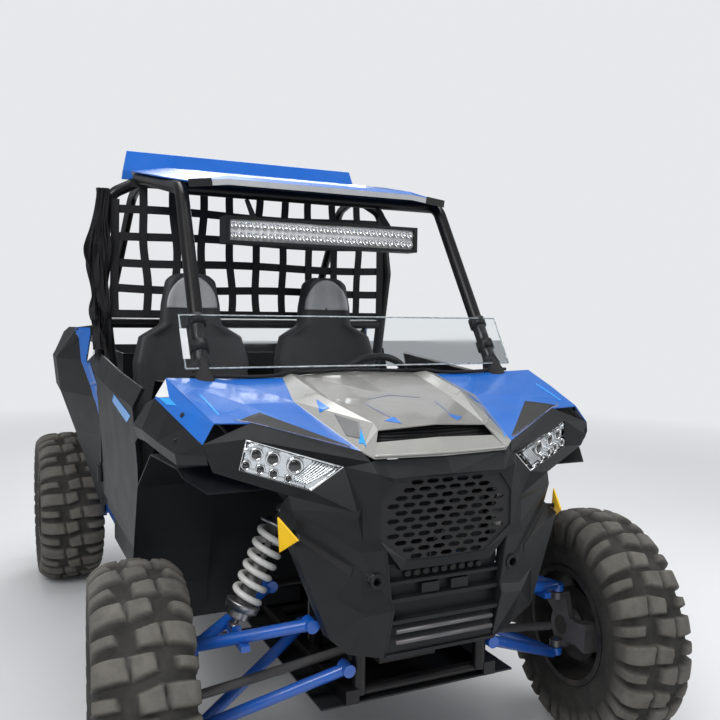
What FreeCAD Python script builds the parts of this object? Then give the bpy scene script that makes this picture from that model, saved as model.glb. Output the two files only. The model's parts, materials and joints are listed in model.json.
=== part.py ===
import FreeCAD, Part
import math
import os

V = FreeCAD.Vector

# An open two-seat off-road vehicle. The front faces -Y, +X is its own left side,
# +Z is up, and the origin is on the ground at the middle of the wheelbase.
# All sizes are in millimetres.

# Wheels and axles
wheelbase = 2286.0
tyre_radius = 368.5
front_half_track = 735.0
rear_half_track = 700.0
front_tyre_width = 235.0
rear_tyre_width = 288.0
bead_radius = 178.0
lug_height = 19.0
tread_pitches = 16
lug_length = 54.0
front_axle_y = -wheelbase / 2
rear_axle_y = wheelbase / 2

# Rims, brakes and bearings
rim_wall = 5.0
rim_flange = 13.0
rim_window_count = 6
stub_radius = 30.0
bearing_gap = 0.05
disc_radius = 118.0
disc_thickness = 5.0
moving_gap = 6.0

# Steering
kingpin_x = 600.0
rest_steer = -5.0
steer_arm = 120.0
rod_radius = 9.0
rod_lift = 101.5
rod_height = tyre_radius + rod_lift
column_ratio = 9.0
steer_rest_turn = rest_steer * column_ratio

# Chassis frame
rail_x = 215.0
rail_z = 372.0
rail_size = 38.0
frame_radius = 19.0
frame_front = front_axle_y - 177
frame_rear = 1290.0
skid_thickness = 5.0
bulkhead_x = 190.0
bulkhead_top = 650.0
recess_y = front_axle_y - 259
tower_x = 330.0
tower_z = 872.0
bed_rail_z = 905.0
shaft_z = 437.0
shaft_radius = 14.0
engine_front = 500.0
engine_rear = 1040.0

# Suspension pivots: inner ends on the frame, outer ends at the wheels
hub_x = 554.0
lower_pivot_z = rod_height - 25
upper_pivot_x = 330.0
upper_pivot_z = rod_height + 110
lower_ball_z = tyre_radius - 68.5
upper_ball_z = tyre_radius + 116.5
ball_stud = 8.0
arm_radius = 16.0
trail_y = 400.0
trail_z = 400.0
arm_front_y = front_axle_y - 157
arm_rear_y = front_axle_y + 158
spring_radius = 46.0
spring_wire = 6.5
spring_steps = 10
shock_radius = 24.0
front_shock_y = front_axle_y + 12
rear_shock_head = V(470, 640, 880)

# Cage tubes
cage_radius = 22.5
cage_bend = 90.0
pillar_foot = V(507, -900, 1165)
pillar_head = V(487, -525, 1777)
hoop_top_x = 500.0
hoop_top_z = 1912.0
hoop_y = 200.0
cowl_z = 1119.8
cowl_radius = 15.0
roof_rear = 340.0
screen_thickness = 5.0
net_half = 612.0
net_low = 1345.0
net_top = 1905.0

# Small clearances: seat is the gap at rest between pieces of one body
seat_gap = 0.3

# Body panels
panel_wall = 4.0
fascia_wall = 5.0
lamp_depth = 16.0
far = 9000.0
seat_x = 300.0
tub_floor = 402.0
tub_half = 585.0
sill_x = tub_half + 60
hoop_foot_x = tub_half - 39
tub_front = -690.0
tub_rear = 300.0
sill_z = 640.0
hinge_y = 72.0
hinge_x = tub_half + 83
hinge_radius = 7.0
bed_half = 520.0
stay_x = bed_half + 25
bed_front = 480.0
bed_rear = 1400.0
bed_floor = 924.3
bed_top = 1180.0
bed_wall = 6.0
hook_x = 204.0
hook_z = 715.0
hook_y = front_axle_y - 287
hook_depth = 24.0
hook_hole = 11.0
pin_hole = 8.0
tie_hole = 5.5
tie_x = 400.0
tie_y = 350.0


# Corners of the nose, left half, as (x, y, z) with y measured back from the front axle.
# The hood and the fascia share its leading edge.
hood_corners = {
    "cowl_mid": (0, 343, 1190), "foot_rear": (200, 271, 1184), "ridge_rear": (236, 258, 1192),
    "out_rear": (268, 238, 1180), "cowl_side": (440, 253, 1180), "shoulder": (620, 211, 1190),
    "corner": (660, 168, 1140), "tip_low": (600, -112, 1053), "tip_top": (567, -97, 1103),
    "peak": (473, -102, 1100), "out_front": (228, -232, 1034), "lip_end": (200, -250, 1018),
    "lip_mid": (0, -269, 1018), "lip_top_end": (184, -217, 1051), "lip_top_mid": (0, -225, 1057),
    "foot_front": (164, -197, 1080), "ridge_front": (176, -195, 1097), "ridge_mid": (232, 45, 1150),
    "foot_mid": (195, 45, 1133), "out_mid": (300, 58, 1130), "panel_front": (0, -209, 1090),
    "panel_mid": (0, 53, 1137), "side_mid": (450, 23, 1131), "side_ridge": (597, 63, 1150),
}
hood_faces = [
    "panel_front foot_front foot_mid panel_mid", "panel_mid foot_mid foot_rear cowl_mid",
    "foot_front ridge_front ridge_mid foot_mid", "foot_mid ridge_mid ridge_rear foot_rear",
    "ridge_front out_front out_mid ridge_mid", "ridge_mid out_mid out_rear ridge_rear",
    "out_front peak side_mid out_mid", "out_mid side_mid cowl_side out_rear",
    "peak tip_top side_ridge side_mid", "side_mid side_ridge shoulder cowl_side",
    "tip_top tip_low corner shoulder side_ridge", "lip_mid lip_end lip_top_end lip_top_mid",
    "foot_front lip_top_end lip_end out_front ridge_front",
]
fascia_corners = {
    "lip_mid": (0, -266, 1012), "lip_end": (190, -247, 1012), "under_mid": (0, -297, 974),
    "under_end": (166, -291, 971), "tip": (212, -257, 1010), "horn_top": (206, -283, 984),
    "horn_mid": (240, -267, 905), "horn_low": (238, -271, 815), "grille_mid": (0, -287, 966),
    "grille_top": (160, -283, 960), "grille_side": (197, -281, 911), "grille_turn": (197, -281, 818),
    "grille_low": (118, -279, 756), "grille_foot": (0, -279, 752), "bar_mid": (0, -281, 731),
    "bar_end": (135, -281, 735), "pad_in": (180, -289, 792), "pad_out": (250, -272, 790),
    "foot_in": (163, -287, 662), "foot_out": (236, -275, 650), "ledge_in": (161, -299, 640),
    "ledge_out": (235, -285, 630), "chin_in": (161, -257, 500), "chin_out": (250, -217, 510),
    "under_in": (246, -255, 884), "under_lamp": (400, -179, 925), "under_out": (575, -119, 984),
    "lamp_low_in": (340, -179, 930), "lamp_low_out": (512, -123, 985), "lamp_in": (262, -209, 992),
    "lamp_out": (497, -133, 1064), "fender_low": (588, -123, 1015), "facet_in": (243, -252, 868),
    "facet_out": (396, -192, 893), "slot_out": (380, -192, 842), "slot_in": (245, -265, 748),
    "cheek": (405, -217, 815), "ridge_far": (300, -245, 676), "cheek_low": (308, -237, 566),
    "back_low": (312, -199, 566), "back_mid": (378, -72, 800), "back_top": (392, -92, 880),
    "pad_back": (178, -255, 792), "foot_back": (163, -255, 658),
    "out_front": hood_corners["out_front"], "peak": hood_corners["peak"],
    "tip_low": hood_corners["tip_low"],
}
fascia_faces = [
    "under_mid under_end lip_end lip_mid", "under_end horn_top tip lip_end",
    "grille_mid grille_top under_end under_mid", "grille_top grille_side horn_top under_end",
    "grille_side horn_mid horn_top", "grille_turn horn_low horn_mid grille_side",
    "bar_mid bar_end grille_low grille_foot", "bar_end pad_in grille_low", "grille_low pad_in grille_turn",
    "pad_in pad_out horn_low grille_turn", "foot_in foot_out slot_in pad_out pad_in",
    "ledge_in ledge_out foot_out foot_in", "chin_in chin_out ledge_out ledge_in",
    "horn_mid horn_low facet_in under_in", "under_in facet_in facet_out under_lamp",
    "facet_out facet_in horn_low pad_out slot_in slot_out", "slot_in foot_out ridge_far cheek slot_out",
    "ledge_out cheek_low ridge_far foot_out", "chin_out cheek_low ledge_out",
    "cheek ridge_far cheek_low back_low back_mid", "slot_out cheek back_mid back_top facet_out",
    "under_lamp facet_out back_top", "tip lamp_in lamp_out peak out_front",
    "lamp_in tip horn_top horn_mid under_in", "under_in under_lamp lamp_low_in lamp_in",
    "under_lamp under_out lamp_low_out lamp_low_in", "lamp_low_out under_out fender_low lamp_out",
    "lamp_out fender_low tip_low peak",
]
pad_faces = ["foot_in pad_in pad_back foot_back", "ledge_in foot_in foot_back chin_in"]

# Lamp projectors: share of the lamp from its outer end, share of its height from the top, radius
projectors = [(0.17, 0.34, 17.0), (0.35, 0.34, 19.0), (0.60, 0.36, 22.0),
              (0.10, 0.76, 13.0), (0.28, 0.76, 13.0), (0.45, 0.78, 13.0), (0.65, 0.80, 11.0)]


def rod(a, b, radius):
    """A round bar from a to b."""
    return Part.makeCylinder(radius, (b - a).Length, a, b - a)


def box(x0, x1, y0, y1, z0, z1):
    return Part.makeBox(x1 - x0, y1 - y0, z1 - z0, V(x0, y0, z0))


def pipe(points, radius, bend):
    """A round tube along straight runs joined by tangent arcs."""
    edges = []
    start = points[0]
    for k in range(1, len(points) - 1):
        corner = points[k]
        into = (points[k - 1] - corner).normalize()
        out = (points[k + 1] - corner).normalize()
        half = into.getAngle(out) / 2
        reach = min(bend / math.tan(half), 0.45 * (corner - points[k - 1]).Length,
                    0.45 * (corner - points[k + 1]).Length)
        first = corner + into * reach
        last = corner + out * reach
        centre = corner + (into + out).normalize() * (reach / math.cos(half))
        middle = centre + (corner - centre).normalize() * (reach * math.tan(half))
        edges.append(Part.LineSegment(start, first).toShape())
        edges.append(Part.Arc(first, middle, last).toShape())
        start = last
    edges.append(Part.LineSegment(start, points[-1]).toShape())
    path = Part.Wire(edges)
    along = points[1] - points[0]
    ring = Part.Wire([Part.Circle(points[0], along, radius).toShape()])
    return path.makePipeShell([ring], True, False)


def prism(outline, axis, low, high):
    """A flat outline in the plane across one axis, extruded along that axis."""
    if axis == "x":
        corners = [V(low, a, b) for a, b in outline]
        way = V(high - low, 0, 0)
    elif axis == "y":
        corners = [V(a, low, b) for a, b in outline]
        way = V(0, high - low, 0)
    else:
        corners = [V(a, b, low) for a, b in outline]
        way = V(0, 0, high - low)
    return Part.Face(Part.makePolygon(corners + [corners[0]])).extrude(way)


def flat_faces(faces, corners):
    """Add one flat face through three or four corners, or two triangles where four aren't in one plane."""
    a, b, c = corners[:3]
    if len(corners) == 4:
        d = corners[3]
        level = (b - a).cross(c - a)
        if abs(level.dot(d - a)) > 1e-6 * max(level.Length, 1.0):
            flat_faces(faces, [a, b, c])
            flat_faces(faces, [a, c, d])
            return
    area = (b - a).cross(corners[-1] - a).Length + (c - b).cross(corners[-1] - b).Length
    if area > 1e-6:
        faces.append(Part.Face(Part.makePolygon(corners + [a])))


def closed(faces):
    """The solid that a closed set of flat faces bounds."""
    shell = Part.makeShell(faces)
    shell.sewShape()
    solid = Part.Solid(shell)
    if solid.Volume < 0:
        solid.reverse()
    return solid


def rings_solid(rings):
    """A solid of flat facets through closed rings of as many corners each, capped at both ends."""
    faces = []
    for low, high in zip(rings, rings[1:]):
        for k in range(len(low)):
            n = (k + 1) % len(low)
            flat_faces(faces, [low[k], low[n], high[n], high[k]])
    for ring in (rings[0], rings[-1]):
        faces.append(Part.Face(Part.makePolygon(ring + [ring[0]])))
    return closed(faces)


def placed(corners):
    """The nose's named corners as points, with their y measured back from the front axle."""
    return {name: V(x, front_axle_y + y, z) for name, (x, y, z) in corners.items()}


def panel(corners, outlines, centre, wall=panel_wall):
    """A faceted panel through named corners, thickened towards a centre. Each outline names its
    corners counter-clockwise as seen from outside."""
    inner = {name: p + (centre - p).normalize() * wall for name, p in corners.items()}
    triangles = []
    for outline in outlines:
        names = outline.split()
        for k in range(1, len(names) - 1):
            triangles.append((names[0], names[k], names[k + 1]))
    edges = [(t[k], t[(k + 1) % 3]) for t in triangles for k in range(3)]
    faces = []
    for a, b, c in triangles:
        flat_faces(faces, [corners[a], corners[b], corners[c]])
        flat_faces(faces, [inner[a], inner[c], inner[b]])
    for a, b in edges:
        if (b, a) not in edges:
            flat_faces(faces, [corners[b], corners[a], inner[a]])
            flat_faces(faces, [corners[b], inner[a], inner[b]])
    return closed(faces).removeSplitter()


def skin(rows, centre, wall=panel_wall):
    """A faceted panel through rows of points, thickened towards a centre."""
    corners = {}
    for i, row in enumerate(rows):
        for j, point in enumerate(row):
            corners[f"{i}-{j}"] = V(*point)
    outlines = []
    for i in range(len(rows) - 1):
        for j in range(len(rows[0]) - 1):
            outlines.append(f"{i}-{j} {i}-{j + 1} {i + 1}-{j + 1} {i + 1}-{j}")
    return panel(corners, outlines, centre, wall)


def loft(rows):
    """A ruled solid through closed sections with the same number of corners."""
    wires = []
    for row in rows:
        corners = [V(*p) for p in row]
        wires.append(Part.makePolygon(corners + [corners[0]]))
    return Part.makeLoft(wires, True, True)


def mirrored(shape):
    return shape.mirror(V(0, 0, 0), V(1, 0, 0))


def both(shape):
    """The piece and its twin on the other side of the vehicle."""
    return [shape, mirrored(shape)]


def fuse(shapes):
    return shapes[0].fuse(shapes[1:]).removeSplitter()


def largest(shape):
    return max(shape.Solids, key=lambda s: s.Volume)


def trim(shape, cutters):
    """Cut neighbours away from a piece and keep its main solid."""
    return largest(shape.cut(cutters))


def steer(shape, side):
    """Turn a straight-ahead front part to the resting steer about its kingpin."""
    turned = shape.copy()
    turned.rotate(V(side * kingpin_x, front_axle_y, 0), V(0, 0, 1), rest_steer)
    return turned


def save(name, shapes):
    group = shapes if isinstance(shapes, list) else [shapes]
    solids = []
    for shape in group:
        solids.extend(shape.Solids)
    Part.makeCompound(solids).exportStep("parts/" + name + ".step")
    faces = sum(len(s.Faces) for s in solids)
    print(name, len(solids), "solids", faces, "faces", all(s.isValid() for s in solids))


# Wheels: tyre, rim with its brake disc and stub shaft, all about the X axis

def revolve_x(profile):
    """A closed outline of (x, radius) points turned about the X axis."""
    corners = [V(x, r, 0) for x, r in profile]
    face = Part.Face(Part.makePolygon(corners + [corners[0]]))
    return face.revolve(V(0, 0, 0), V(1, 0, 0), 360)


def carcass(profile):
    """A barrel of flat facets about the X axis through (x, radius) points, one of them facing down."""
    reach = 1 / math.cos(math.pi / tread_pitches)
    rings = []
    for x, radius in profile:
        ring = []
        for k in range(tread_pitches):
            turn = 2 * math.pi * (k + 0.5) / tread_pitches
            ring.append(V(x, radius * reach * math.sin(turn), -radius * reach * math.cos(turn)))
        rings.append(ring)
    return rings_solid(rings)


def tyre(width):
    """A left tyre: on each facet of the carcass one bar lug to each side of the middle, staggered."""
    half = width / 2
    tread = tyre_radius - lug_height
    side = [(half - 50, tread), (half - 4, tyre_radius - 56), (half - 20, bead_radius + 15)]
    profile = [(-x, r) for x, r in reversed(side)] + side
    bar = [(-4, tread - 6), (-4, tyre_radius), (half - 24, tyre_radius - 4), (half - 3, tyre_radius - 48)]
    stagger = tyre_radius * math.sin(math.pi / tread_pitches) / 2
    left = prism(bar, "y", stagger - lug_length / 2, stagger + lug_length / 2)
    right = mirrored(left)
    right.translate(V(0, -2 * stagger, 0))
    lugs = []
    for k in range(tread_pitches):
        for lug in (left, right):
            turned = lug.copy()
            turned.rotate(V(0, 0, 0), V(1, 0, 0), 360.0 * k / tread_pitches)
            lugs.append(turned)
    bore = rod(V(-half, 0, 0), V(half, 0, 0), bead_radius)
    return carcass(profile).fuse(lugs).cut(bore).removeSplitter()


def rim(width, side, stub_end, disc_x):
    """The rim with its face on the outer side, then the hub stub and the disc."""
    half = width / 2
    seat = bead_radius - 0.3
    inner = seat - rim_wall
    face_x = 34.0
    outline = [(-half + 13, inner), (-half + 13, seat + rim_flange), (-half + 19, seat + rim_flange),
               (-half + 19, seat), (half - 19, seat), (half - 19, seat + rim_flange),
               (half - 13, seat + rim_flange), (half - 13, inner - 2), (half - 30, inner - 14),
               (face_x, 96), (face_x, 0), (face_x - 9, 0), (face_x - 9, 96),
               (half - 44, inner - 14), (half - 50, inner)]
    body = revolve_x(outline)
    window = prism([(112, -26), (148, -33), (148, 33), (112, 26)], "x", -half, half)
    for k in range(rim_window_count):
        cut = window.copy()
        cut.rotate(V(0, 0, 0), V(1, 0, 0), 360.0 * k / rim_window_count)
        body = body.cut(cut)
    stub = rod(V(stub_end, 0, 0), V(face_x - 9, 0, 0), stub_radius)
    hat = rod(V(disc_x, 0, 0), V(face_x - 9, 0, 0), 62)
    disc = rod(V(disc_x, 0, 0), V(disc_x + disc_thickness, 0, 0), disc_radius)
    bore = rod(V(disc_x - 1, 0, 0), V(face_x - 20, 0, 0), stub_radius)
    body = body.fuse([stub, hat.fuse(disc).cut(bore)]).removeSplitter()
    if side < 0:
        body = mirrored(body)
    return body


def wheels():
    """Front and rear wheels. The rubber of one side is the mirror of the other's."""
    rubbers = {True: tyre(front_tyre_width), False: tyre(rear_tyre_width)}
    places = [("fl", 1, True), ("fr", -1, True), ("rl", 1, False), ("rr", -1, False)]
    for name, side, front in places:
        width = front_tyre_width if front else rear_tyre_width
        track = front_half_track if front else rear_half_track
        axle_y = front_axle_y if front else rear_axle_y
        stub_end = kingpin_x + 14 - track if front else hub_x - track
        disc_x = -66 if front else -92
        centre = V(side * track, axle_y, tyre_radius)
        rubber = rubbers[front].copy() if side > 0 else mirrored(rubbers[front])
        rubber.translate(centre)
        metal = rim(width, side, stub_end, disc_x).translate(centre)
        if front:
            rubber = steer(rubber, side)
            metal = steer(metal, side)
        save("tyre_" + name, rubber)
        save("rim_" + name, metal)


# Steering knuckles with the brake calipers

def knuckle():
    """Left knuckle, built straight ahead: bearing housing, ball joint ears, steering arm."""
    x = kingpin_x
    y = front_axle_y
    z = tyre_radius
    disc_x = front_half_track - 66
    housing = rod(V(x + 16, y, z), V(disc_x - moving_gap, y, z), 52)
    web = prism([(y - 20, lower_ball_z), (y + 20, lower_ball_z), (y + 46, z - 30), (y + 46, z + 30),
                 (y + 20, upper_ball_z), (y - 20, upper_ball_z), (y - 46, z + 30), (y - 46, z - 30)],
                "x", x + 16, x + 34)
    upper_ear = rod(V(x, y, upper_ball_z - 24), V(x, y, upper_ball_z - 2), 20)
    lower_ear = rod(V(x, y, lower_ball_z + 2), V(x, y, lower_ball_z + 24), 20)
    upper_link = box(x, x + 34, y - 16, y + 16, upper_ball_z - 24, upper_ball_z - 2)
    lower_link = box(x, x + 34, y - 16, y + 16, lower_ball_z + 2, lower_ball_z + 24)
    arm = prism([(y, z + 30), (y + 40, z + 30), (y + steer_arm, rod_height - 16),
                 (y + steer_arm, rod_height + 4), (y + 60, rod_height + 4), (y, z + 80)],
                "x", x + 16, x + 32)
    foot = box(x - 12, x + 32, y + steer_arm - 13, y + steer_arm + 13, rod_height - 16, rod_height + 4)
    eye = rod(V(x, y + steer_arm, rod_height - 14), V(x, y + steer_arm, rod_height + 14), 14)
    carrier = prism([(y - 70, z - 40), (y - 40, z - 40), (y - 40, z + 40), (y - 70, z + 40)],
                    "x", x + 16, x + 34)
    grip = prism([(y - 128, z - 45), (y - 62, z - 34), (y - 62, z + 34), (y - 128, z + 45)],
                 "x", x + 16, disc_x + 26)
    slot = rod(V(disc_x - 1.5, y, z), V(disc_x + disc_thickness + 1.5, y, z), disc_radius + 1.5)
    body = fuse([housing, web, upper_ear, lower_ear, upper_link, lower_link, arm, foot, eye,
                 carrier, grip])
    bore = rod(V(x, y, z), V(disc_x, y, z), stub_radius + bearing_gap)
    hat_room = rod(V(disc_x - 2, y, z), V(disc_x + 40, y, z), 68)
    studs = rod(V(x, y, lower_ball_z - 30), V(x, y, upper_ball_z + 30), ball_stud + bearing_gap)
    return body.cut(fuse([bore, slot, hat_room, studs]))


def knuckles():
    left = knuckle()
    save("knuckle_fl", steer(left, 1))
    save("knuckle_fr", steer(mirrored(left), -1))


# Frame, floor and running gear

def front_frame():
    """Bulkhead, shock towers and their braces up to the cage."""
    bars = []
    for side in (1, -1):
        front = [V(side * bulkhead_x, arm_front_y, rail_z), V(side * bulkhead_x, arm_front_y, bulkhead_top)]
        rear = [V(side * bulkhead_x, arm_rear_y, rail_z), V(side * bulkhead_x, arm_rear_y, bulkhead_top)]
        bars.append(rod(front[0], front[1], frame_radius))
        bars.append(rod(rear[0], rear[1], frame_radius))
        bars.append(rod(front[1], rear[1], frame_radius))
        tower = V(side * tower_x, front_axle_y, tower_z)
        bars.append(rod(front[1], tower, frame_radius - 4))
        bars.append(rod(rear[1], tower, frame_radius - 4))
        bars.append(rod(tower, V(side * 509, -931, 1114), frame_radius - 4))
        for y in (arm_front_y, arm_rear_y):
            stub = V(side * (upper_pivot_x - 17.2), y, upper_pivot_z)
            bars.append(rod(V(side * bulkhead_x, y, upper_pivot_z), stub, frame_radius - 5))
        tab = box(136, 154, recess_y + 3, arm_front_y, 600, 640)
        neck = box(136, bulkhead_x, arm_front_y - 8, arm_front_y + 8, 600, 640)
        bars.extend([tab, neck] if side > 0 else [mirrored(tab), mirrored(neck)])
    tower = V(tower_x, front_axle_y, tower_z)
    bars.append(rod(V(-tower.x, tower.y, tower.z), tower, frame_radius - 4))
    for y in (arm_front_y, arm_rear_y):
        bars.append(rod(V(-bulkhead_x, y, bulkhead_top), V(bulkhead_x, y, bulkhead_top), frame_radius - 4))
    return fuse(bars)


def frame():
    """Lower rails with their cross tubes, and the frame that carries the bed and the rear shocks."""
    bars = []
    half = rail_size / 2
    for side in (1, -1):
        x = side * rail_x
        bars.append(box(x - half, x + half, frame_front, frame_rear, rail_z - half, rail_z + half))
        for y in (560, 900):
            pad = box(150, 230, y, y + 60, rail_z + half, rail_z + 30 - seat_gap)
            bars.append(pad if side > 0 else mirrored(pad))
        bars.append(rod(V(side * 440, trail_y, trail_z), V(side * 440, trail_y, bed_rail_z), frame_radius))
        bars.append(rod(V(side * 440, trail_y, bed_rail_z), V(side * 330, 1290, bed_rail_z), frame_radius))
        bars.append(rod(V(side * rail_x, 1270, rail_z), V(side * 330, 1290, bed_rail_z), frame_radius))
        bars.append(rod(V(side * 360, 1000, bed_rail_z), V(side * stay_x, 1000, bed_rail_z), frame_radius))
        head = rear_shock_head
        for y in (head.y - 28, head.y + 21):
            ear = box(400, head.x + 16, y, y + 7, head.z - 16, head.z + 32)
            bars.append(ear if side > 0 else mirrored(ear))
    for y in (arm_front_y + 10, arm_rear_y + 25, -680.0, 270.0, 1270.0):
        bars.append(rod(V(-rail_x, y, rail_z), V(rail_x, y, rail_z), frame_radius - 4))
    bars.append(rod(V(-484, trail_y, trail_z), V(484, trail_y, trail_z), frame_radius))
    bars.append(rod(V(-440, trail_y, bed_rail_z), V(440, trail_y, bed_rail_z), frame_radius))
    bars.append(rod(V(-330, 1290, bed_rail_z), V(330, 1290, bed_rail_z), frame_radius))
    return fuse(bars)


def skid_plate():
    """The flat guard under the rails."""
    bottom = rail_z - rail_size / 2
    flat = box(-300, 300, frame_front + 10, 900, bottom - skid_thickness, bottom - seat_gap / 3)
    save("skid_plate", flat)


def engine():
    """The engine, one plain block on its pads."""
    return box(-190, 190, engine_front, engine_rear, rail_z + 30, 800)


def driveline():
    """Front and rear gearcase, the shaft between them, and the half shafts with their boots."""
    case_front = box(-90, 90, front_axle_y - 82, front_axle_y + 83, 400, 520)
    case_rear = box(-110, 110, engine_rear + seat_gap, rear_axle_y + 82, 400, 560)
    shaft = rod(V(0, front_axle_y + 73, shaft_z), V(0, engine_front - seat_gap, shaft_z), shaft_radius)
    bars = [case_front, case_rear, shaft]
    for side in (1, -1):
        bars.append(rod(V(side * 80, front_axle_y, 430), V(side * 572, front_axle_y, tyre_radius + 3), 13))
        bars.append(rod(V(side * 90, front_axle_y, 429), V(side * 150, front_axle_y, 421), 34))
        bars.append(rod(V(side * 100, rear_axle_y, 440), V(side * 546, rear_axle_y, tyre_radius + 4), 14))
        bars.append(rod(V(side * 110, rear_axle_y, 438), V(side * 170, rear_axle_y, 429), 38))
    save("driveline", fuse(bars))


def exhaust():
    """The silencer across the tail, with its inlet from the engine and its outlet."""
    can = rod(V(-230, 1180, 760), V(230, 1180, 760), 80)
    tail = rod(V(150, 1180, 760), V(150, 1330, 745), 26)
    inlet = rod(V(-120, 1000, 700), V(-120, 1180, 750), 28)
    save("exhaust", fuse([can, tail, inlet]).cut(engine()))


def rear_bumper(frame_shape):
    """The rear loop, and the hitch receiver with its pin hole."""
    loop = pipe([V(-330, 1300, 905), V(-330, 1440, 890), V(-300, 1460, 640), V(300, 1460, 640),
                 V(330, 1440, 890), V(330, 1300, 905)], 19, 60)
    hitch = box(-32, 32, 1275, 1470, 380, 444).cut(box(-26, 26, 1300, 1480, 386, 438))
    pin = rod(V(0, 1440, 370), V(0, 1440, 450), pin_hole)
    save("rear_bumper", [trim(loop, frame_shape), trim(hitch, [frame_shape, pin])])


# Suspension: front double arms, rear trailing arms and radius rods, shocks with springs

def front_arms():
    """Lower and upper arm of the left side."""
    low = V(kingpin_x, front_axle_y, lower_ball_z)
    high = V(kingpin_x, front_axle_y, upper_ball_z)
    lower = []
    upper = []
    for y in (arm_front_y, arm_rear_y):
        foot = V(bulkhead_x + frame_radius + 17, y, lower_pivot_z)
        lower.append(rod(foot, low - V(14, 0, 20), arm_radius))
        lower.append(rod(foot - V(0, 22, 0), foot + V(0, 22, 0), 17))
        head = V(upper_pivot_x, y, upper_pivot_z)
        upper.append(rod(head, high + V(-14, 0, 20), arm_radius))
        upper.append(rod(head - V(0, 22, 0), head + V(0, 22, 0), 17))
    lower.append(rod(low - V(0, 0, 24), low - V(0, 0, 2), 20))
    upper.append(rod(high + V(0, 0, 2), high + V(0, 0, 24), 20))
    upper.append(rod(high - V(0, 0, 22), high + V(0, 0, 24), ball_stud))
    lower.append(rod(low - V(0, 0, 24), low + V(0, 0, 22), ball_stud))
    clevis = box(470, 494, front_shock_y - 30, front_shock_y + 30, 508, 545)
    clevis = clevis.fuse(box(470, 494, front_axle_y - 97, front_axle_y + 68, 508, 524))
    upper.append(clevis.cut(box(460, 510, front_shock_y - 21, front_shock_y + 21, 520, 560)))
    return [fuse(lower), fuse(upper)]


def trailing_arm():
    """Left trailing arm: a boxed beam from the pivot to the hub carrier."""
    axle = tyre_radius
    beam = loft([[(500, trail_y, 372), (540, trail_y, 372), (540, trail_y, 428), (500, trail_y, 428)],
                 [(505, 760, 400), (550, 760, 400), (550, 760, 500), (505, 760, 500)],
                 [(512, rear_axle_y, axle - 53), (556, rear_axle_y, axle - 53),
                  (556, rear_axle_y, axle + 72), (512, rear_axle_y, axle + 72)]])
    pivot = rod(V(484 + seat_gap, trail_y, trail_z), V(550, trail_y, trail_z), 34)
    carrier = rod(V(hub_x - 2, rear_axle_y, axle), V(hub_x + 48, rear_axle_y, axle), 52)
    bore = rod(V(540, rear_axle_y, axle), V(620, rear_axle_y, axle), stub_radius + bearing_gap)
    plate = box(512, 556, 1085, 1200, axle - 68, axle + 132)
    boot_room = rod(V(480, rear_axle_y, axle), V(548, rear_axle_y, axle), 44)
    clevis = box(512, 548, 770, 830, 480, 524).cut(box(500, 560, 779, 821, 498, 540))
    return fuse([beam, pivot, carrier, plate, clevis]).cut(bore.fuse(boot_room))


def suspension_arms():
    arms = front_arms() + [trailing_arm()]
    pieces = []
    for arm in arms:
        pieces.extend(both(arm))
    save("suspension_arms", pieces)
    rear_links(arms[2])


def rear_links(arm):
    links = []
    for z_in, z_out, y in ((345, 320, 1100), (600, 480, 1110), (470, 400, 1190)):
        links.append(rod(V(140, 1245, z_in), V(512, y, z_out), 11))
    plate = box(-140, 140, 1235, 1255, 320, 640)
    web = fuse([plate] + links + [mirrored(link) for link in links])
    save("rear_links", trim(web, both(arm)))


def coil(low, high, turns):
    """A spring of flat facets: a five-sided wire wound about the line from low to high."""
    span = high - low
    way = V(span).normalize()
    side = way.cross(V(0, 1, 0)).normalize()
    up = way.cross(side)
    steps = turns * spring_steps
    rings = []
    for i in range(steps + 1):
        turn = 2 * math.pi * i / spring_steps
        out = side * math.cos(turn) + up * math.sin(turn)
        centre = low + span * (i / steps) + out * (spring_radius - spring_wire)
        ring = []
        for k in range(5):
            lean = 2 * math.pi * k / 5
            away = out * math.cos(lean) + way * math.sin(lean)
            ring.append(centre + away * spring_wire)
        rings.append(ring)
    return rings_solid(rings)


def shock(low, high, turns):
    """A shock absorber with two spring seats, and the coil between them."""
    way = (high - low).normalize()
    length = (high - low).Length
    body = rod(low + way * 34, low + way * (length * 0.55), shock_radius)
    shaft = rod(low, high, 8)
    lower_seat = rod(low + way * 62, low + way * 70, spring_radius + 2)
    upper_seat = rod(high - way * 44, high - way * 36, spring_radius + 2)
    collar = rod(high - way * 66, high - way * 44, shock_radius + 4)
    eyes = [rod(end - V(0, 20.9, 0), end + V(0, 20.9, 0), 13) for end in (low, high)]
    rest = spring_wire + seat_gap
    spring = coil(low + way * (70 + rest), high - way * (44 + rest), turns)
    return [fuse([body, shaft, lower_seat, upper_seat, collar] + eyes), spring]


def shocks():
    pieces = []
    for shape in (shock(V(482, front_shock_y, 535), V(345, front_shock_y, 840), 6)
                  + shock(V(530, 800, 515), rear_shock_head, 7)):
        pieces.extend(both(shape))
    save("shocks", pieces)


# Steering

def steering():
    shift = V(steer_arm * math.radians(-rest_steer), 0, 0)
    tip = kingpin_x - 14 - moving_gap - 4
    y = front_axle_y + steer_arm
    rods = rod(V(-tip, y, rod_height), V(tip, y, rod_height), rod_radius)
    save("tie_rods", rods.translate(shift))


def rack_housing():
    y = front_axle_y + steer_arm
    case = box(-195, 195, y - 20, y + 19, rod_height - 18, rod_height + 22)
    bore = rod(V(-200, y, rod_height), V(200, y, rod_height), rod_radius + bearing_gap)
    return case.cut(bore)


column_low = V(seat_x, -640, 880)
wheel_centre = V(seat_x, -330, 1059)


def steering_column():
    way = (wheel_centre - column_low).normalize()
    shaft = rod(column_low, wheel_centre - way * (30 + seat_gap), 20)
    save("steering_column", [shaft, rack_housing()])


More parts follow.
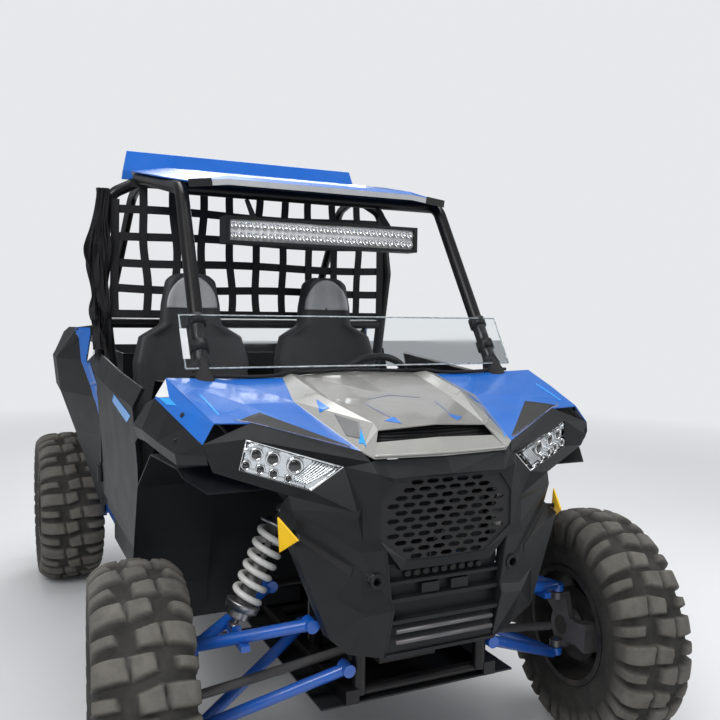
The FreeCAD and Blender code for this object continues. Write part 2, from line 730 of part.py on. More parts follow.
def steering_wheel():
    way = (wheel_centre - column_low).normalize()
    ring = Part.makeTorus(172, 14)
    hub = Part.makeCylinder(38, 30, V(0, 0, -30))
    spokes = [box(-8, 8, 0, 172, -10, -2), box(-165, 165, -14, 14, -10, -2)]
    body = fuse([ring, hub] + spokes)
    body.rotate(V(0, 0, 0), V(0, 0, 1), steer_rest_turn)
    tilt = FreeCAD.Rotation(V(0, 0, 1), way)
    body.Placement = FreeCAD.Placement(wheel_centre, tilt).multiply(body.Placement)
    save("steering_wheel", body)


# Roll cage, roof, wing, net, light bar and half windscreen

def cage_front():
    """Pillars that run on as the roof rails, with the cowl tube and the front cross tube."""
    bars = []
    for side in (1, -1):
        foot = V(side * pillar_foot.x, pillar_foot.y, pillar_foot.z)
        head = V(side * pillar_head.x, pillar_head.y, pillar_head.z)
        low_end = foot + (foot - head).normalize() * 60
        bars.append(pipe([low_end, head, V(side * hoop_top_x, hoop_y, hoop_top_z)], cage_radius, cage_bend))
    bars.append(rod(V(-509, -908, cowl_z), V(509, -908, cowl_z), cowl_radius))
    brow = pillar_head + V(0, 40, 5)
    bars.append(rod(V(-brow.x, brow.y, brow.z), brow, cage_radius - 3))
    return fuse(bars)


def cage_rear():
    """The hoop behind the seats, its stays to the bed frame, and the shoulder bar."""
    foot = hoop_foot_x
    half = [V(foot, 215, tub_floor + 6.2), V(foot, 215, 740), V(foot + 66, 215, 1200),
            V(foot + 104, 207, 1560), V(foot + 64, hoop_y, 1840), V(hoop_top_x - 30, hoop_y, hoop_top_z)]
    hoop = pipe(half + [V(-p.x, p.y, p.z) for p in reversed(half)], cage_radius, 70)
    bars = [hoop]
    for side in (1, -1):
        stay = [V(480, hoop_y, hoop_top_z - 8), V(490, 400, 1865), V(stay_x, 1000, 1190),
                V(stay_x, 1000, bed_rail_z + frame_radius + 0.2)]
        bars.append(pipe([V(side * p.x, p.y, p.z) for p in stay], cage_radius - 3, 120))
    bars.append(rod(V(-foot - 79, 213, 1320), V(foot + 79, 213, 1320), cage_radius - 3))
    return fuse(bars)


def roof_height(y):
    """Height of the roof rail's centre line at y."""
    share = (y - pillar_head.y) / (hoop_y - pillar_head.y)
    return pillar_head.z + share * (hoop_top_z - pillar_head.z)


def roof():
    """The roof sheet, crowned across, with a lip turned up along its front edge."""
    lift = cage_radius + 5.6
    rows = []
    for y, wide, crown in ((-585, 478, 16), (-560, 482, 26), (-300, 515, 30), (hoop_y, 530, 24),
                           (roof_rear, 500, 16)):
        z = roof_height(min(y, hoop_y)) + lift
        flat = 0.72 * wide
        rows.append([(-wide, y, z), (-flat, y, z + crown), (flat, y, z + crown), (wide, y, z)])
    return skin(rows, V(0, 0, -far), 5)


def wing():
    """The rear wing: an upright strip behind the roof that leans back at its top."""
    low_y = roof_rear + seat_gap
    rows = [[(-545, low_y, 1925), (545, low_y, 1925)], [(-540, low_y, 1962), (540, low_y, 1962)],
            [(-520, low_y + 22, 2050), (520, low_y + 22, 2050)]]
    return skin(rows, V(0, far, 1960), 5)


def light_bar():
    """The light bar's case, hung from the front cross tube by two straps."""
    case = box(-360, 360, -600, -530, 1600, 1690)
    front = box(-345, 345, -601, -590, 1610, 1680)
    pieces = [case.cut(front)]
    for x in (-256, 250):
        pieces.append(prism([(-592, 1688), (-545, 1688), (-470, 1762), (-500, 1762)], "x", x, x + 6))
    return fuse(pieces)


def windshield():
    """The half screen, lying on the pillars."""
    rise = (pillar_head - pillar_foot).normalize()
    out = V(0, -rise.z, rise.y) * (cage_radius + seat_gap)
    front = V(0, -rise.z, rise.y) * screen_thickness
    ends = [pillar_foot + rise * 40 + out, pillar_foot + rise * 218 + out]
    corners = [V(-560, ends[0].y, ends[0].z), V(560, ends[0].y, ends[0].z),
               V(560, ends[1].y, ends[1].z), V(-560, ends[1].y, ends[1].z)]
    return Part.Face(Part.makePolygon(corners + [corners[0]])).extrude(front)


def rear_net(cage):
    """The net behind the seats: a thin sheet cut into straps."""
    back = hoop_y - cage_radius - seat_gap
    sheet = prism([(-net_half, net_low), (net_half, net_low), (net_half, 1800), (520, net_top),
                   (-520, net_top), (-net_half, 1800)], "y", back - 4, back)
    holes = []
    columns = 10
    lines = 5
    pitch_x = 2 * net_half / columns
    pitch_z = (net_top - net_low) / lines
    for i in range(columns):
        for k in range(lines):
            if k == lines - 1 and i in (0, columns - 1):
                continue
            x = -net_half + pitch_x * (i + 0.5)
            z = net_low + pitch_z * (k + 0.5)
            holes.append(box(x - pitch_x / 2 + 14, x + pitch_x / 2 - 14, 160, 190,
                             z - pitch_z / 2 + 14, z + pitch_z / 2 - 14))
    return trim(sheet.cut(Part.makeCompound(holes)), [cage])


def side_bundle(net):
    rows = []
    for z, wide, front, back in ((1835, 35, 150, 177), (1560, 48, 130, 184), (1240, 35, 140, 191)):
        x = -660
        rows.append([(x - wide, front, z), (x + wide, front, z), (x + wide, back, z), (x - wide, back, z)])
    return loft(rows).cut(net)


# Front bodywork

def hood():
    """The hood: a centre panel between two raised ribs, sharp outer tips, and a slot above its lip."""
    side = panel(placed(hood_corners), hood_faces, V(0, front_axle_y + 143, -1500))
    sheet = fuse(both(side))
    rise = (pillar_head - pillar_foot).normalize()
    hole = rod(pillar_foot - rise * 70, pillar_foot + rise * 120, cage_radius + 4)
    return sheet.cut(both(hole))


def front_fascia(hood_shape):
    """The nose: grille surround with its horns, lamp surrounds, side facets, hook pads and the recess
    between them, crossed by bars."""
    corners = placed(fascia_corners)
    face = panel(corners, fascia_faces, V(0, front_axle_y + 443, 800), fascia_wall)
    pad_side = panel(corners, pad_faces, V(far, front_axle_y - 277, 700), fascia_wall)
    boss = rod(V(hook_x, hook_y, hook_z), V(hook_x, hook_y + hook_depth, hook_z), hook_hole + 9)
    hole = rod(V(hook_x, hook_y - 20, hook_z), V(hook_x, hook_y + 50, hook_z), hook_hole)
    half = fuse([face, pad_side, boss]).cut(hole)
    inner = 165.0
    recess = [box(-inner, inner, recess_y, recess_y + 6, 503, 745)]
    for low, high, reach, wide in ((503, 512, 6, inner), (596, 606, 24, inner), (651, 661, 22, inner),
                                   (696, 704, 18, inner), (731, 739, 18, 135)):
        recess.append(box(-wide, wide, recess_y - reach, recess_y + 1, low, high))
    for x in (-44, 44):
        recess.append(box(x - 26, x + 26, recess_y - 16, recess_y + 1, 664, 690))
    return trim(fuse([half, mirrored(half)] + recess), hood_shape)


def grille_mesh(fascia):
    """A plate behind the grille opening, pierced by rows of long six-sided holes."""
    outline = [(-125, 745), (125, 745), (205, 810), (205, 918), (166, 974), (-166, 974),
               (-205, 918), (-205, 810)]
    front = front_axle_y - 277
    plate = prism(outline, "y", front, front + 7)
    pitch_x = 45.0
    pitch_z = 19.0
    holes = []
    for row in range(11):
        z = 764 + row * pitch_z
        half_width = min(190.0, 190 - (818 - z) * 1.2, 190 - (z - 905) * 0.75)
        offset = pitch_x / 2 if row % 2 else 0.0
        for column in range(-5, 6):
            x = column * pitch_x + offset
            if abs(x) + 19 < half_width:
                holes.append(prism([(x - 19, z), (x - 11, z - 6), (x + 11, z - 6), (x + 19, z),
                                    (x + 11, z + 6), (x - 11, z + 6)], "y", front - 5, front + 15))
    return trim(plate.cut(Part.makeCompound(holes)), fascia)


def headlamp(fascia, hood_shape):
    """A bowl behind the lamp opening, with seven round projectors standing on its floor."""
    nose = placed(fascia_corners)
    corners = [nose[name] for name in ("lamp_in", "lamp_out", "lamp_low_in", "lamp_low_out")]
    middle = (corners[0] + corners[1] + corners[2] + corners[3]) * 0.25

    def slab(grow, front, depth):
        """The lamp's outline, grown about its middle, from front to front + depth behind the opening."""
        spots = [tuple(middle + (p - middle) * grow + V(0, front, 0)) for p in corners]
        return skin([spots[:2], spots[2:]], V(middle.x, far, middle.z), depth)

    bowl = slab(1.08, 3, lamp_depth + 8).cut(slab(0.97, -8, lamp_depth + 8))
    top_in, top_out, low_in, low_out = corners
    out = (low_in - top_in).cross(top_out - top_in).normalize()
    pieces = [bowl]
    for along, down, radius in projectors:
        high = top_out * (1 - along) + top_in * along
        low = low_out * (1 - along) + low_in * along
        seat = high * (1 - down) + low * down + V(0, lamp_depth, 0)
        pieces.append(rod(seat - out * 5, seat + out * 9, radius))
    return trim(fuse(pieces), [fascia, hood_shape])


def front_fender():
    """The flare over a front wheel: from the hood's side edge out to its lip, which turns down."""
    low = hood_corners["tip_low"]
    high = hood_corners["corner"]
    rows = []
    for share, crease, lip in ((0.0, (592, -125, 1026), (588, -119, 1004)),
                               (0.35, (652, -51, 1022), (646, -41, 994)),
                               (0.70, (672, 83, 1036), (664, 89, 1006)),
                               (1.0, (688, 203, 1050), (679, 207, 1018))):
        edge = tuple(a + (b - a) * share for a, b in zip(low, high))
        rows.append([edge, crease, lip])
    rows.append([(656, 283, 1116), (692, 313, 1046), (682, 317, 1012)])
    rows.append([(650, 365, 1104), (690, 367, 1030), (684, 367, 985)])
    flare = skin(rows, V(300, 93, 600))
    flare.translate(V(0, front_axle_y, 0))
    return flare


def liner():
    """The wheel arch's inner sheet, its outer edge following the flare."""
    rear = tub_front - seat_gap - 3
    path = [(front_axle_y - 119, 930), (front_axle_y - 7, 975), (front_axle_y + 213, 975), (-800, 860),
            (-728, 650), (rear, 520), (rear, 440)]
    back = [(y + 3, z + 3) for y, z in reversed(path)]
    sheet = prism(path + back, "x", 440, 682)
    room = prism([(430, front_axle_y - 137), (575, front_axle_y - 137), (632, front_axle_y - 47),
                  (655, front_axle_y + 143), (676, -800), (676, -680), (430, -680)], "z", 400, 1000)
    return sheet.common(room)


def reflector():
    """An amber triangle on the rear facet of the nose's side."""
    nose = placed(fascia_corners)
    a, b, c = nose["cheek"], nose["back_low"], nose["back_mid"]
    out = (b - a).cross(c - a).normalize()
    corners = []
    for u, v, w in ((0.06, 0.04, 0.90), (0.72, 0.06, 0.22), (0.10, 0.33, 0.57)):
        corners.append(a * u + b * v + c * w + out * seat_gap)
    return Part.Face(Part.makePolygon(corners + [corners[0]])).extrude(out * 4)


# Cab

def dash():
    """The dash top, rising from the cowl tube to close under the hood's rear edge, and its face."""
    rows = [[(-465, -905, 1139), (465, -905, 1139)], [(-455, -868, 1166), (455, -868, 1166)],
            [(-450, -800, 1170), (450, -800, 1170)], [(-580, -755, 1160), (580, -755, 1160)],
            [(-580, -560, 1150), (580, -560, 1150)], [(-580, -500, 1080), (580, -500, 1080)],
            [(-580, -560, 850), (580, -560, 850)]]
    sheet = skin(rows, V(0, -1000, 700), 6)
    return sheet.cut(rod(column_low, wheel_centre, 20))


def cab_tub(cage_shape):
    """Floor, sides and sills of the cab, with the shaft tunnel along its middle."""
    outer = prism([(tub_front, tub_floor), (tub_rear, tub_floor), (tub_rear, 880), (80, 880),
                   (60, sill_z), (tub_front, sill_z)], "x", -tub_half, tub_half)
    inner = prism([(tub_front + 6, tub_floor + 6), (tub_rear - 6, tub_floor + 6), (tub_rear - 6, 900),
                   (50, 900), (50, 700), (tub_front + 6, 700)], "x", -tub_half + 6, tub_half - 6)
    tunnel = box(-130, 130, tub_front, tub_rear, tub_floor, 560)
    channel = box(-120, 120, tub_front - 10, tub_rear + 10, tub_floor - 10, 550)
    shell = outer.cut(inner).fuse(tunnel).cut(channel)
    wall = box(-tub_half + 25, tub_half - 25, tub_front, tub_front + 6, sill_z, 850)
    sills = both(box(tub_half, sill_x, tub_front + 40, 60, sill_z - 40, sill_z))
    return trim(fuse([shell, wall] + sills), cage_shape)


def seat():
    """Left seat: a bolstered cushion, a winged back that narrows to the headrest, and its mount."""
    x = seat_x
    cushion = []
    for y, wide, low, dip, rim_z in ((-262, 196, 612, 664, 672), (-225, 226, 600, 674, 706),
                                     (20, 230, 584, 664, 700), (140, 222, 574, 652, 668)):
        cushion.append([V(x + a, y, z) for a, z in (
            (-wide, low), (wide, low), (wide + 4, rim_z - 16), (wide - 26, rim_z), (wide - 92, dip),
            (92 - wide, dip), (26 - wide, rim_z), (-wide - 4, rim_z - 16))])
    back = []
    for z, wide, wing, dip, rear in ((618, 214, 62, 98, 150), (900, 224, 57, 106, 158),
                                     (1165, 238, 60, 112, 164), (1268, 212, 84, 116, 165),
                                     (1318, 128, 98, 116, 165), (1400, 122, 100, 114, 165),
                                     (1496, 104, 104, 114, 163), (1528, 78, 112, 118, 158)):
        back.append([V(x + a, y, z) for a, y in (
            (-wide, rear), (-wide, wing + 12), (30 - wide, wing), (-0.52 * wide, dip), (0.52 * wide, dip),
            (wide - 30, wing), (wide, wing + 12), (wide, rear))])
    mount = box(x - 150, x + 150, -200, 120, tub_floor + 6.2, 640)
    return fuse([rings_solid(cushion), rings_solid(back), mount])


def door(side):
    """A half door: creased outer skin, its hinge pin behind and the strap between them."""
    rows = [
        [(hinge_x - 13, -755, 1146), (hinge_x - 2, -400, 1168), (hinge_x, 45, 1200)],
        [(hinge_x + 15, -755, 1090), (hinge_x + 24, -400, 1104), (hinge_x + 20, 48, 1120)],
        [(hinge_x, -755, 900), (hinge_x + 12, -400, 890), (hinge_x + 4, 50, 880)],
        [(hinge_x - 13, -690, 660), (hinge_x - 8, -400, 655), (hinge_x - 8, 50, 655)],
    ]
    leaf = skin(rows, V(0, -350, 900), 14)
    knuckle_pin = rod(V(hinge_x, hinge_y, 760), V(hinge_x, hinge_y, 1040), hinge_radius)
    strap = box(hinge_x - 6, hinge_x + 6, 30, hinge_y, 780, 1020)
    body = fuse([leaf, knuckle_pin, strap])
    return body if side > 0 else mirrored(body)


# Rear bodywork

def rear_fender(cage_shape):
    """A rear flare: its top deck along the bed, and the side that drops ahead of the wheel."""
    inner = bed_half + seat_gap
    rows = [
        [(inner, 480, 1186), (inner, 600, 1186), (inner, 900, 1186), (inner, 1400, 1186)],
        [(bed_half + 134, 440, 1306), (bed_half + 186, 520, 1296), (bed_half + 188, 900, 1288),
         (bed_half + 170, 1400, 1250)],
        [(bed_half + 160, 420, 1150), (bed_half + 262, 700, 1154), (bed_half + 255, 1000, 1150),
         (bed_half + 220, 1420, 1130)],
        [(bed_half + 125, 350, 1000), (bed_half + 245, 690, 1000), (bed_half + 240, 1000, 1010),
         (bed_half + 215, 1420, 1040)],
    ]
    upper = skin(rows, V(300, 700, 300))
    lower = skin([[(655, 235, 1210), (bed_half + 160, 420, 1150), (bed_half + 262, 700, 1154)],
                  [(648, 130, 1000), (bed_half + 125, 350, 1000), (bed_half + 245, 690, 1000)],
                  [(640, 130, 820), (bed_half + 94, 300, 837), (bed_half + 185, 665, 820)],
                  [(625, 130, 560), (bed_half + 80, 300, 560), (bed_half + 80, 590, 470)]], V(0, 500, 800))
    return trim(fuse([upper, lower]), cage_shape)


def cargo_bed():
    """The open bed with four tie-down holes in its floor."""
    outer = box(-bed_half, bed_half, bed_front, bed_rear, bed_floor, bed_top)
    inner = box(-bed_half + bed_wall, bed_half - bed_wall, bed_front + bed_wall, bed_rear - bed_wall,
                bed_floor + bed_wall, bed_top + 10)
    holes = []
    middle = (bed_front + bed_rear) / 2
    for x in (-tie_x, tie_x):
        for y in (middle - tie_y, middle + tie_y):
            holes.append(rod(V(x, y, bed_floor - 10), V(x, y, bed_floor + 20), tie_hole))
    return outer.cut([inner] + holes)


def tail_lamps():
    return both(box(400, 510, bed_rear + 0.2, bed_rear + 20, 1080, 1130))


def hinge_post():
    """Left hinge: a sleeve above and below the door pin, each on an arm from the hoop."""
    pieces = []
    for low, high, hoop_x in ((700, 759.8, hoop_foot_x + 2), (1040.2, 1090, hoop_foot_x + 48)):
        sleeve = rod(V(hinge_x, hinge_y, low), V(hinge_x, hinge_y, high), 14)
        reach = box(hoop_x - 12, hinge_x, hinge_y + 10, hinge_y + 46, low + 8, high - 8)
        back = box(hoop_x - 12, hoop_x + 12, hinge_y + 10, 215, low + 8, high - 8)
        pieces.append(fuse([sleeve, reach, back]))
    return pieces


def body():
    """Cage and bodywork, in the order in which one piece is cut away from the next."""
    lugs = []
    for piece in hinge_post():
        lugs.extend(both(piece))
    rear = fuse([cage_rear()] + lugs)
    front = cage_front().cut(rear)
    save("cage_front", front)
    save("cage_rear", rear)
    save("roof_panel", roof())
    save("rear_wing", wing())
    save("light_bar", light_bar())
    save("windshield", windshield())
    net = rear_net(front)
    save("rear_net", net)
    save("side_net_bundle", side_bundle(net))
    hood_shape = hood()
    fascia = front_fascia(hood_shape)
    rails = frame()
    save("frame_rails", rails)
    save("front_frame", trim(front_frame(), [rails, front, fascia]))
    rear_bumper(rails)
    save("hood", hood_shape)
    save("front_fascia", fascia)
    save("grille_mesh", grille_mesh(fascia))
    save("headlamps", both(headlamp(fascia, hood_shape)))
    save("front_fenders", both(trim(front_fender(), [hood_shape, fascia])))
    save("front_liners", both(trim(liner(), [fascia])))
    save("side_reflectors", both(trim(reflector(), fascia)))
    save("dash", dash())
    save("cab_tub", cab_tub(rear))
    save("seats", both(seat()))
    save("door_left", door(1))
    save("door_right", door(-1))
    save("rear_fenders", both(rear_fender(rear)))
    save("cargo_bed", cargo_bed())
    save("tail_lamps", tail_lamps())


def main():
    os.makedirs("parts", exist_ok=True)
    wheels()
    knuckles()
    skid_plate()
    save("engine_block", engine())
    driveline()
    exhaust()
    suspension_arms()
    shocks()
    steering()
    steering_column()
    steering_wheel()
    body()


main()
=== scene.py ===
"""Looks of an open two-seat off-road side by side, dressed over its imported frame.

The front faces -Y, the vehicle's own left side is +X, and +Z is up. All sizes are in metres.
"""

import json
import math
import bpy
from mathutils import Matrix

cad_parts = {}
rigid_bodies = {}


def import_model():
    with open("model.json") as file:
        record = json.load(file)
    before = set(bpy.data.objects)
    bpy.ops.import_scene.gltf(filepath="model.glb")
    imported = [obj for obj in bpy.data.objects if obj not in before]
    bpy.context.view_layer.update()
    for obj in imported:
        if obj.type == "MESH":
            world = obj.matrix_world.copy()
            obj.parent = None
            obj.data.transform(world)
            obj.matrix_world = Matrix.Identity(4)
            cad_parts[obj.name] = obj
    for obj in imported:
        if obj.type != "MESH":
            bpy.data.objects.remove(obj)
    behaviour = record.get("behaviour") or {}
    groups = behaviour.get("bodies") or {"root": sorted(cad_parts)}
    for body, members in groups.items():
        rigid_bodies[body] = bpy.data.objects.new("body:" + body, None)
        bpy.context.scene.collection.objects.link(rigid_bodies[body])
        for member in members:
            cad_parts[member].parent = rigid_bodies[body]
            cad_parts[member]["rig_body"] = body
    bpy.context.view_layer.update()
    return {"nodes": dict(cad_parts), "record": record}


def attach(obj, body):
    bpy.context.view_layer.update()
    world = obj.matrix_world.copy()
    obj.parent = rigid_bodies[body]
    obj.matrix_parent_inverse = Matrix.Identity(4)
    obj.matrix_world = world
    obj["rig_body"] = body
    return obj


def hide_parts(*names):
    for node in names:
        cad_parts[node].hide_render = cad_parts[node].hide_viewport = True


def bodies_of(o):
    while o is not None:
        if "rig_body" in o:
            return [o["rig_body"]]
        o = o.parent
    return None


bl_info = {
    "name": "Side by side utv",
    "version": (1, 0, 0),
    "blender": (4, 5, 0),
    "location": "3D View > Sidebar > Utv",
    "description": "Dresses the packed side by side frame with its visible surfaces and finishes",
    "category": "Object",
}

import bmesh
import bpy
import numpy as np
from bpy.props import FloatProperty, FloatVectorProperty, IntProperty, PointerProperty
from mathutils import Matrix, Vector

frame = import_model()
NODES = frame["nodes"]
SLOTS = {row["node"]: row["material_slot"] for row in frame["record"]["subparts"]}
FINISH = {}

# Camera, fitted to the photograph's frame
FRAME_PIXELS = 720
FOCAL_PIXELS = 786.35
SENSOR_WIDTH = 36.0
CAMERA_PLACE = Vector((-1.071, -3.129, 1.383))
CAMERA_YAW = math.radians(25.482)
CAMERA_PITCH = math.radians(3.55)
CAMERA_ROLL = math.radians(0.846)

# Stage. Lamps: name, place, size, power
FLOOR_HALF = 30.0
PALE = (0.80, 0.81, 0.83, 1.0)
WORLD_LIGHT = 0.55
WORLD_MIRRORED = 0.26
LAMP_AIM = Vector((0.0, -0.3, 0.8))
LAMPS = (("key", (-3.2, -3.6, 4.6), 2.6, 190.0), ("fill", (4.2, -3.0, 3.0), 3.0, 70.0),
         ("top", (0.3, 0.4, 5.2), 3.4, 150.0), ("rim", (1.5, 5.0, 3.6), 2.6, 90.0))

# The vehicle's own two sides
ENDS = ((1, "left"), (-1, "right"))

# Wheels: name, side, whether it is a front one. Reach is from the middle plane to the wheel's centre
WHEELS = (("fl", 1, True), ("fr", -1, True), ("rl", 1, False), ("rr", -1, False))
HALF_BASE = 1.143
TYRE_RADIUS = 0.3685
FRONT_WIDTH, REAR_WIDTH = 0.235, 0.288
FRONT_REACH, REAR_REACH = 0.735, 0.700
KINGPIN_X = 0.600
REST_STEER = math.radians(-5.0)

# Stickers: their wall, how far they stand off, and where they start above, beside and before the vehicle
STICKER_WALL = 0.0004
STICKER_LIFT = 0.0007
ABOVE, BESIDE, BEFORE = 1.6, 1.0, -1.7


class UtvSettings(bpy.types.PropertyGroup):
    """Colours and sizes that a user may want to change."""

    body_blue: FloatVectorProperty(
        name="Body blue", description="Gloss blue of the roof, wing, flanks and stripes",
        subtype="COLOR", default=(0.004, 0.115, 0.47), min=0.0, max=1.0)
    frame_blue: FloatVectorProperty(
        name="Arm blue", description="Blue of the suspension arms",
        subtype="COLOR", default=(0.003, 0.095, 0.46), min=0.0, max=1.0)
    hood_silver: FloatVectorProperty(
        name="Hood silver", description="Silver of the hood's middle",
        subtype="COLOR", default=(0.27, 0.265, 0.25), min=0.0, max=1.0)
    dark_plastic: FloatVectorProperty(
        name="Moulded plastic", description="Dark grey of the nose and fenders",
        subtype="COLOR", default=(0.009, 0.0105, 0.012), min=0.0, max=1.0)
    lug_height: FloatProperty(
        name="Lug height", description="How far the tread blocks stand out",
        default=0.0175, min=0.0, max=0.0185, unit="LENGTH")
    bar_lamps: IntProperty(
        name="Light bar lamps", description="Reflectors in each of the light bar's rows",
        default=27, min=4, max=40)


# Shader helpers

def tree_of(material):
    """The material's node tree, emptied, with a Principled shader joined to its output."""
    material.use_nodes = True
    tree = material.node_tree
    tree.nodes.clear()
    shader = tree.nodes.new("ShaderNodeBsdfPrincipled")
    output = tree.nodes.new("ShaderNodeOutputMaterial")
    output.location = (300, 0)
    tree.links.new(shader.outputs["BSDF"], output.inputs["Surface"])
    return tree, shader


def new_group(name, inputs, outputs):
    """An empty shader node group. Inputs are rows of (name, default); outputs are (name, kind)."""
    group = bpy.data.node_groups.new(name, "ShaderNodeTree")
    for title, default in inputs:
        socket = group.interface.new_socket(title, in_out="INPUT", socket_type="NodeSocketFloat")
        socket.default_value = default
    for title, kind in outputs:
        group.interface.new_socket(title, in_out="OUTPUT", socket_type="NodeSocket" + kind)
    start = group.nodes.new("NodeGroupInput")
    end = group.nodes.new("NodeGroupOutput")
    end.location = (900, 0)
    return group, start, end


def add(tree, kind, values=None, **settings):
    """A new node with its settings and its unlinked input values."""
    node = tree.nodes.new("ShaderNode" + kind)
    for key, value in settings.items():
        setattr(node, key, value)
    for key, value in (values or {}).items():
        node.inputs[key].default_value = value
    return node


def join(tree, source, target):
    tree.links.new(source, target)


def object_place(tree):
    """The Object coordinates."""
    return add(tree, "TexCoord").outputs["Object"]


def parts_of(tree, vector):
    """A vector's X, Y and Z."""
    node = add(tree, "SeparateXYZ")
    join(tree, vector, node.inputs["Vector"])
    return node.outputs


def noise(tree, vector, scale, detail=4.0, roughness=0.55):
    """Noise at the given places. The scale is a socket or a plain number."""
    node = add(tree, "TexNoise", {"Detail": detail, "Roughness": roughness})
    join(tree, vector, node.inputs["Vector"])
    if isinstance(scale, bpy.types.NodeSocket):
        join(tree, scale, node.inputs["Scale"])
    else:
        node.inputs["Scale"].default_value = scale
    return node.outputs["Fac"]


def spread(tree, value, low, high, new_low=0.0, new_high=1.0):
    """Maps a value from one span to another, clamped."""
    node = add(tree, "MapRange", {"From Min": low, "From Max": high, "To Min": new_low, "To Max": new_high})
    join(tree, value, node.inputs["Value"])
    return node.outputs["Result"]


def blend(tree, factor, first, second):
    """A colour mix. Each colour is a socket or a plain colour."""
    node = add(tree, "Mix", data_type="RGBA")
    join(tree, factor, node.inputs[0])
    for index, colour in ((6, first), (7, second)):
        if isinstance(colour, bpy.types.NodeSocket):
            join(tree, colour, node.inputs[index])
        else:
            node.inputs[index].default_value = (*colour, 1.0)
    return node.outputs[2]


def maths(tree, operation, first, second):
    """One sum. The first value is a socket, the second one a socket or a number."""
    node = add(tree, "Math", operation=operation)
    join(tree, first, node.inputs[0])
    if isinstance(second, bpy.types.NodeSocket):
        join(tree, second, node.inputs[1])
    else:
        node.inputs[1].default_value = second
    return node.outputs[0]


def mix_shaders(tree, factor, first, second, output):
    """Joins two shaders by a factor to the output's surface."""
    mix = add(tree, "MixShader")
    for source, target in ((factor, 0), (first, 1), (second, 2)):
        join(tree, source, mix.inputs[target])
    join(tree, mix.outputs[0], output.inputs["Surface"])


def grain_group():
    """Grain: moulded texture. A bump from fine noise, and a roughness that varies in broad patches."""
    group, start, end = new_group(
        "Grain", [("Scale", 900.0), ("Depth", 0.0002), ("Roughness", 0.5), ("Variation", 0.08)],
        [("Roughness", "Float"), ("Normal", "Vector")])
    place = object_place(group)
    bump = add(group, "Bump", {"Strength": 0.6})
    join(group, noise(group, place, start.outputs["Scale"], 2.0, 0.6), bump.inputs["Height"])
    join(group, start.outputs["Depth"], bump.inputs["Distance"])
    centred = maths(group, "SUBTRACT", noise(group, place, 7.0, 5.0), 0.5)
    varied = maths(group, "MULTIPLY", centred, start.outputs["Variation"])
    total = maths(group, "ADD", maths(group, "MULTIPLY", varied, 4.0), start.outputs["Roughness"])
    join(group, total, end.inputs["Roughness"])
    join(group, bump.outputs["Normal"], end.inputs["Normal"])


def dust_group():
    """Dust: a mask that gathers on upward faces and low on the vehicle, broken up by noise."""
    group, start, end = new_group("Dust", [("Amount", 0.3), ("Scale", 14.0)], [("Mask", "Float")])
    place = object_place(group)
    facing = parts_of(group, add(group, "NewGeometry").outputs["Normal"])
    upward = spread(group, facing["Z"], 0.1, 0.9)
    broken = spread(group, noise(group, place, start.outputs["Scale"], 6.0, 0.65), 0.38, 0.68)
    low = spread(group, parts_of(group, place)["Z"], 0.9, 0.2)
    mask = maths(group, "MULTIPLY", maths(group, "MAXIMUM", upward, low), broken)
    join(group, maths(group, "MULTIPLY", mask, start.outputs["Amount"]), end.inputs["Mask"])


def use_group(tree, name, **values):
    return add(tree, "Group", values, node_tree=bpy.data.node_groups[name])


DUST_COLOUR = (0.23, 0.19, 0.15)
COAT_ROUGHNESS = 0.06


def finish(name, colour, roughness=0.5, metallic=0.0, coat=0.0, depth=0.0002, scale=900.0,
           dust=0.2, variation=0.05, mottle=0.12, specular=0.5):
    """A finish of one base colour with mottling, grain and dust."""
    material = bpy.data.materials.new(name)
    tree, shader = tree_of(material)
    grain = use_group(tree, "Grain", Scale=scale, Depth=depth, Roughness=roughness, Variation=variation)
    mask = use_group(tree, "Dust", Amount=dust).outputs["Mask"]
    patches = spread(tree, noise(tree, object_place(tree), 11.0, 6.0), 0.3, 0.7)
    shade = tuple(c * (1.0 - mottle) for c in colour)
    tint = tuple(min(1.0, c * (1.0 + mottle)) for c in colour)
    dusty = blend(tree, mask, blend(tree, patches, shade, tint), DUST_COLOUR)
    join(tree, dusty, shader.inputs["Base Color"])
    rough = maths(tree, "ADD", grain.outputs["Roughness"], maths(tree, "MULTIPLY", mask, 0.5))
    join(tree, rough, shader.inputs["Roughness"])
    join(tree, grain.outputs["Normal"], shader.inputs["Normal"])
    for key, value in (("Metallic", metallic), ("Coat Weight", coat), ("Coat Roughness", COAT_ROUGHNESS),
                       ("Specular IOR Level", specular)):
        shader.inputs[key].default_value = value
    return material


def clear(name, colour, index, scale, detail, haze):
    """Clear plastic or glass: full transmission with a faint haze in broad patches."""
    material = bpy.data.materials.new(name)
    tree, shader = tree_of(material)
    patches = spread(tree, noise(tree, object_place(tree), scale, detail), 0.4, 0.8, *haze)
    join(tree, patches, shader.inputs["Roughness"])
    for key, value in (("Base Color", (*colour, 1.0)), ("Transmission Weight", 1.0), ("IOR", index)):
        shader.inputs[key].default_value = value
    return material


def edge_plastic():
    """The screen's sawn edge: pale frosted plastic that catches the light."""
    material = bpy.data.materials.new("screen_edge")
    tree, shader = tree_of(material)
    patches = spread(tree, noise(tree, object_place(tree), 30.0), 0.3, 0.7)
    join(tree, blend(tree, patches, (0.50, 0.54, 0.56), (0.72, 0.76, 0.78)), shader.inputs["Base Color"])
    join(tree, spread(tree, patches, 0.0, 1.0, 0.15, 0.35), shader.inputs["Roughness"])
    for key, value in (("Transmission Weight", 0.35), ("IOR", 1.4)):
        shader.inputs[key].default_value = value
    return material


